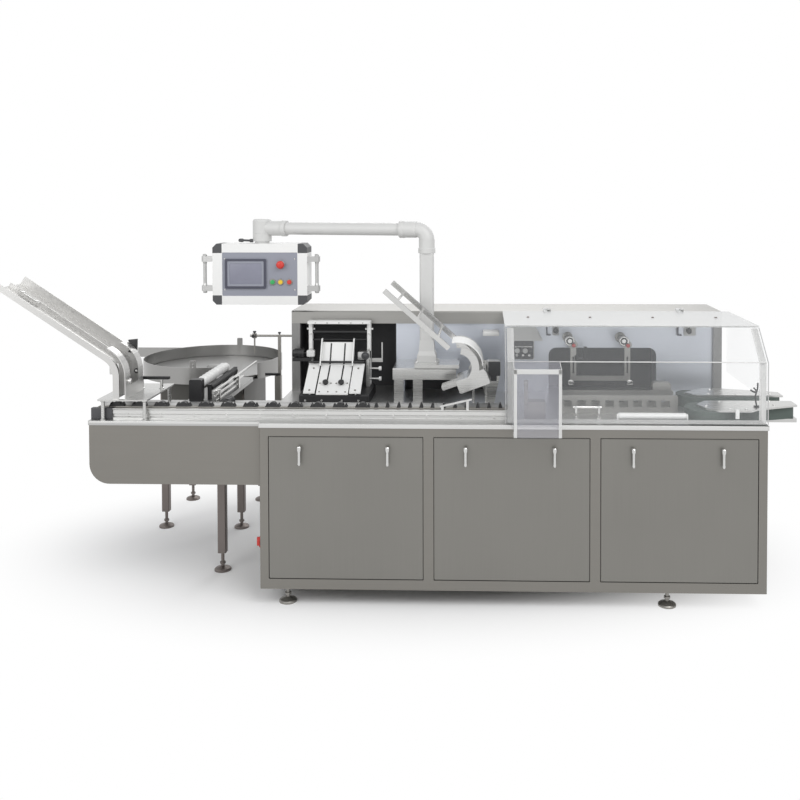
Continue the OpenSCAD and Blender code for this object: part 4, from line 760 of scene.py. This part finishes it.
def hood_edges():
    """The bands inside the front sheet, the rims of the end sheets and the two long bends."""
    f = Form()
    for x, w in ((HOOD_X + 8.5, 31), (END_X - 38, 29)):
        f.prism(BAND_SIDE, "x", x, w, 0.3)
    f.done("hood_bands", BAND, "hood", "clear_sheet")
    f = Form()
    for x in (HOOD_X + 1.2, END_X - 1.2):
        f.tube([(x, 1, 826), (x, 1, 900), (x, 1, KNEE - 20), (x, 2, KNEE - 2)], 2.2, 8, 4)
        f.rod((x, 2, KNEE - 2), (x, HOOD_SET - 1, HOOD_TOP - 9), 2.2, 8)
    f.done("hood_end_edges", RIM, "hood", "clear_sheet")
    f = Form()
    for y, z in ((1.2, KNEE), (HOOD_SET, HOOD_TOP - 1)):
        f.rod((HOOD_X + 9, y, z), (END_X - 9, y, z), 2.4, 8)
    f.done("hood_edges", EDGE, "hood", "clear_sheet")


def guard_edges():
    x0, x1, low, strip = GUARD_X, GUARD_X1, GUARD_LOW, 13
    f = Form()
    for x in (x0 + 1, x1 - 1):
        f.rod((x, GUARD_Y, low + 1), (x, GUARD_Y, GUARD_TOP), 2, 8)
        f.rod((x, GUARD_Y, GUARD_TOP), (x, -2, KNEE + 1), 2, 8)
        f.rod((x, -16, low + 1), (x, GUARD_Y, low + 1), 2, 8)
    f.rod((x0 + 1, GUARD_Y, GUARD_TOP), (x1 - 1, GUARD_Y, GUARD_TOP), 2, 8)
    upright = [rounded(x, low, strip, GUARD_TOP - low, 2) for x in (x0, x1 - strip)]
    for outline in upright + [rounded(x0, GUARD_TOP - 19, x1 - x0, 19, 2)]:
        f.prism(outline, "y", GUARD_Y - 2, 1.4, 0.3)
    f.done("guard_edges", EDGE, "hood", "clear_sheet")


# Infeed, chute and gate

CHUTE_X, CHUTE_Z, CHUTE_SLOPE = -2160.3, 1410.5, math.radians(33.4)
MID_WALL_Y, SLOT_BAR_UP = 140.5, 17.0
GATE_X, GATE_Y, GATE_Z = -1068.0, 850.0, 1079.0
GATE_REACH, KNOB_ALONG = 158, 0.85
GATE_ROD_X = GATE_X - GATE_REACH * KNOB_ALONG
STRAP_X, STRAP_Z = -1608.0, 1004.0
WEDGE_SIDE = [(-1649, 1091), (-1631, 1089), (-1609, 1093), (-1607, 1153), (-1649, 1149), (-1637, 1123)]
CLIP_Y, CLIP_Z = 273.0, 915.0


def on_chute(down, y, up):
    """A point so far down from the chute's tip and so far up from its floor."""
    x = CHUTE_X + down * math.cos(CHUTE_SLOPE) + up * math.sin(CHUTE_SLOPE)
    return (x, y, CHUTE_Z - down * math.sin(CHUTE_SLOPE) + up * math.cos(CHUTE_SLOPE))


def beam_trim():
    f = Form().prism(rounded(53, TOP + 0.4, 25, 51, 3), "x", INFEED_X, 96, 1)
    f.done("beam_cap", DARK, slot="dark_plastic")
    f = Form().screws([(-1580 + i * 150, 60.4, TOP + 25) for i in range(12)], FRONT, 5)
    f.done("beam_screws", CHROME)


def chute_slot_bar():
    """A bar on two bosses, on the chute's middle wall."""
    f = Form()
    f.rod(on_chute(60, MID_WALL_Y - 3.5, SLOT_BAR_UP), on_chute(165, MID_WALL_Y - 3.5, SLOT_BAR_UP), 4)
    for down in (74, 151):
        f.turned([(6, 0), (6, 7), (4.5, 8)], on_chute(down, MID_WALL_Y, SLOT_BAR_UP), FRONT, 20)
    f.done("chute_slot_bar", CHROME)


def gate_knobs():
    f = Form()
    f.knobs([(GATE_ROD_X, GATE_Y, GATE_Z + 11)], UP, 9, 14)
    f.knobs([(GATE_ROD_X - 2, GATE_Y - 11, GATE_Z)], FRONT, 9, 16)
    f.knobs([(GATE_X, GATE_Y, GATE_Z + 7)], UP, 8, 13)
    f.prism(rounded(GATE_X - 78, 865, 84, 14, 3), "y", GATE_Y - 6, 12, 1)
    f.done("gate_knobs", BLACK, slot="dark_plastic")


def chute_fittings():
    """The black wedge, bar and washer beside the chute's foot, then the bright parts that hold them."""
    f = Form()
    f.prism(WEDGE_SIDE, "y", 246, 16, 1)
    f.prism(rounded(-1613, 959, 152, 14, 4), "y", 264, 18, 1)
    f.turned([(12, 0), (12, 4), (9, 6), (9, 8)], (STRAP_X, 247.5, STRAP_Z), FRONT, 24)
    f.done("chute_fittings", BLACK, slot="dark_plastic")
    f = Form()
    for x in (-1593, -1500):
        f.rod((x, CLIP_Y, CLIP_Z), (x, CLIP_Y, CLIP_Z + 46), 7)
        f.turned([(12, 0), (12, 3), (9, 5)], (x, CLIP_Y, CLIP_Z + 0.6), UP, 20)
    f.turned([(7, 0), (7, 3), (5, 4.5), (1, 5)], (STRAP_X, 240, STRAP_Z), FRONT, 20)
    f.prism(rounded(-1654, 1025, 44, 48, 4), "y", 44, 5, 1)
    f.done("chute_clips", CHROME)


def deck_edge_highlight():
    """Bright strips along the deck's front edge, over the cabinet and over the infeed box: a painted
    highlight where the edge catches the light.
    """
    f = Form()
    # Thin pale strips that paint the highlight on the deck's front edge
    f.prism(rounded(-4.4, 801, 1.6, 18, 0.7), "x", CAB_X, END_X - CAB_X, 0.2)
    f.prism(rounded(25.6, 809, 1.6, 10, 0.7), "x", INFEED_X, 770, 0.2)
    f.done("deck_edge_highlight", BEAM, slot="bright_steel")


# Turntable stand and timing screw

STAND_X, STAND_X1, STAND_Y, STAND_Y1 = -1750.4, -1291.8, 950.0, 1450.0
STAND_Z, STAND_Z1 = 560.0, 800.0
SHEET_T, SHEET_IN, LEG_SINK, SCREW_IN = 3.0, 6, 0.3, 24
SCREW_X, SCREW_Y, SCREW_Z = -1350.0, 354.0, 921.0
SCREW_L, SCREW_PITCH, SCREW_R, POCKET = 450.0, 50.0, 26, 9.5
SCREW_SIDES, SCREW_STEPS, POCKET_POWER = 40, 216, 1.3


def stand_panels():
    """Bare cover sheets between the legs of the turntable's stand, with their screws. The sheets' very dark
    steel is painted shade for the shaded front of the stand.
    """
    high = STAND_Z1 - STAND_Z
    front = rounded(STAND_X + SHEET_IN, STAND_Z, STAND_X1 - STAND_X - 2 * SHEET_IN, high, 4)
    flank = rounded(STAND_Y + SHEET_IN, STAND_Z, STAND_Y1 - STAND_Y - 2 * SHEET_IN, high, 4)
    f = Form()
    for y in (STAND_Y - SHEET_T + LEG_SINK, STAND_Y1 - LEG_SINK):
        f.prism(front, "y", y, SHEET_T, 0.5)
    for x in (STAND_X - SHEET_T + LEG_SINK, STAND_X1 - LEG_SINK):
        f.prism(flank, "x", x, SHEET_T, 0.5)
    f.done("stand_panels", SHADED_STAND, slot="brushed_steel")
    out = SHEET_T - 2 * LEG_SINK
    f = Form()
    for x in (STAND_X + SCREW_IN, STAND_X1 - SCREW_IN):
        for z in (STAND_Z + SCREW_IN, STAND_Z1 - SCREW_IN):
            f.screws([(x, STAND_Y - out, z)], FRONT, 5)
            f.screws([(x, STAND_Y1 + out, z)], REAR, 5)
    f.done("stand_screws", CHROME)


def screw_ring(y):
    """The timing screw's outline so far along it: one rounded pocket winds around."""
    ring = []
    for i in range(SCREW_SIDES):
        a = 2 * math.pi * i / SCREW_SIDES
        pocket = abs(math.sin(math.pi * y / SCREW_PITCH - a / 2)) ** POCKET_POWER
        r = SCREW_R - POCKET * pocket
        ring.append((SCREW_X + r * math.cos(a), SCREW_Y + y, SCREW_Z + r * math.sin(a)))
    return ring


def feed_screw():
    """The timing screw with a journal at either end."""
    f = Form().rings([screw_ring(SCREW_L * k / SCREW_STEPS) for k in range(SCREW_STEPS + 1)])
    for y, way in ((SCREW_Y + 1, FRONT), (SCREW_Y + SCREW_L - 1, REAR)):
        f.turned([(15, 0), (15, 4), (8, 6), (8, 21.5), (7, 23)], (SCREW_X, y, SCREW_Z), way, 28)
    screw = f.done("screw_flight", WHITE, "screw", "white_plastic")
    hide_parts("timing_screw")


PIECES = [
    screen, buttons, face_screws, post_screws, clamp_lever, arm_collars, ramp_screws, leaflet_slots,
    trim_knobs, frame_screws, ring_knob, motor_fins, base_screws, corner_brackets, knob_plates,
    panel_knobs, light_bar, magazine_sensor, guide_bar, links, bar_ends, cross_rod, cover_clip,
    cover_lever, cover_screws, pickup, sensor_bracket, hood_screws, hood_edges, guard_edges, beam_trim,
    chute_slot_bar, gate_knobs, chute_fittings, deck_edge_highlight, stand_panels, feed_screw,
]
for make in PIECES:
    make()


# Stage: floor, light and camera

FLOOR_HALF, FLOOR_TONE, FLOOR_ROUGH = 40.0, (0.9, 0.9, 0.9, 1), 0.9
FADE_FROM, FADE_TO = 0.6, 1.25
FADE_SHAPE = (0.55, 1, 1)
WHITE_LIGHT, SKY_LIGHT, SKY_POWER = (1, 1, 1, 1), (0.97, 0.98, 1, 1), 0.55
CAMERA_AT, CAMERA_TURN = (27.2, -3972.7, 1815.1), (90 - 1.544, 0.08, 1.678)
LENS, SENSOR, SHIFT_X, SHIFT_Y, FAR = 40.96, 36.0, -0.0719, -0.2220, 200


def floor():
    """A white floor that takes the shadow and fades to plain white around the machine."""
    s = FLOOR_HALF
    mesh = bpy.data.meshes.new("floor")
    mesh.from_pydata([(-s, -s, 0), (s, -s, 0), (s, s, 0), (-s, s, 0)], [], [(0, 1, 2, 3)])
    m = bpy.data.materials.new("floor_white")
    m.use_nodes = True
    t = m.node_tree
    bsdf = t.nodes["Principled BSDF"]
    bsdf.inputs["Base Color"].default_value = FLOOR_TONE
    bsdf.inputs["Roughness"].default_value = FLOOR_ROUGH
    glow = add(t, "Emission", {"Color": WHITE_LIGHT})
    coord = add(t, "TexCoord")
    shape = add(t, "Mapping", {"Scale": FADE_SHAPE})
    dist = add(t, "VectorMath", operation="LENGTH")
    fade = add(t, "MapRange", {"From Min": FADE_FROM, "From Max": FADE_TO}, interpolation_type="SMOOTHSTEP")
    mix = add(t, "MixShader")
    link(t, coord, "Object", shape, "Vector")
    link(t, shape, "Vector", dist, 0)
    link(t, dist, "Value", fade, "Value")
    link(t, fade, "Result", mix, "Fac")
    link(t, bsdf, "BSDF", mix, 1)
    link(t, glow, "Emission", mix, 2)
    link(t, mix, "Shader", t.nodes["Material Output"], "Surface")
    mesh.materials.append(m)
    obj = into_scene("floor", mesh)


def world():
    """White where it is seen, mirrored or looked through, and a softer sky light elsewhere."""
    w = bpy.data.worlds.new("studio")
    SCENE.world = w
    w.use_nodes = True
    t = w.node_tree
    t.nodes.clear()
    out = add(t, "OutputWorld")
    seen = add(t, "Background", {"Color": WHITE_LIGHT, "Strength": 1.0})
    soft = add(t, "Background", {"Color": SKY_LIGHT, "Strength": SKY_POWER})
    path = add(t, "LightPath")
    seen_or_mirrored = add(t, "Math", operation="MAXIMUM")
    any_of_them = add(t, "Math", operation="MAXIMUM")
    mix = add(t, "MixShader")
    link(t, path, "Is Camera Ray", seen_or_mirrored, 0)
    link(t, path, "Is Glossy Ray", seen_or_mirrored, 1)
    link(t, seen_or_mirrored, "Value", any_of_them, 0)
    link(t, path, "Is Transmission Ray", any_of_them, 1)
    link(t, any_of_them, "Value", mix, "Fac")
    link(t, soft, "Background", mix, 1)
    link(t, seen, "Background", mix, 2)
    link(t, mix, "Shader", out, "Surface")


def lamp(name, spot, target, size, power):
    """An area light that faces a target."""
    data = bpy.data.lights.new(name, "AREA")
    data.shape = "RECTANGLE"
    data.size, data.size_y = size
    data.energy = power
    obj = into_scene(name, data)
    obj.location = spot
    obj.rotation_euler = (Vector(target) - Vector(spot)).to_track_quat("-Z", "Y").to_euler()


def camera():
    data = bpy.data.cameras.new("camera")
    data.lens = LENS
    data.sensor_width = SENSOR
    data.shift_x, data.shift_y = SHIFT_X, SHIFT_Y
    data.clip_end = FAR
    obj = into_scene("camera", data)
    obj.location = at(*CAMERA_AT)
    obj.rotation_euler = [math.radians(a) for a in CAMERA_TURN]
    SCENE.camera = obj


floor()
world()
lamp("key", (2.2, -3.4, 4.2), (0, 0, 0.8), (3.5, 2.5), 120)
lamp("fill", (-3.2, -3.6, 3.0), (-0.3, 0, 0.7), (3.0, 2.5), 70)
lamp("back", (0.4, 3.5, 3.8), (0, 0, 0.8), (4.0, 2.0), 70)
camera()
SCENE.view_settings.view_transform = "Standard"
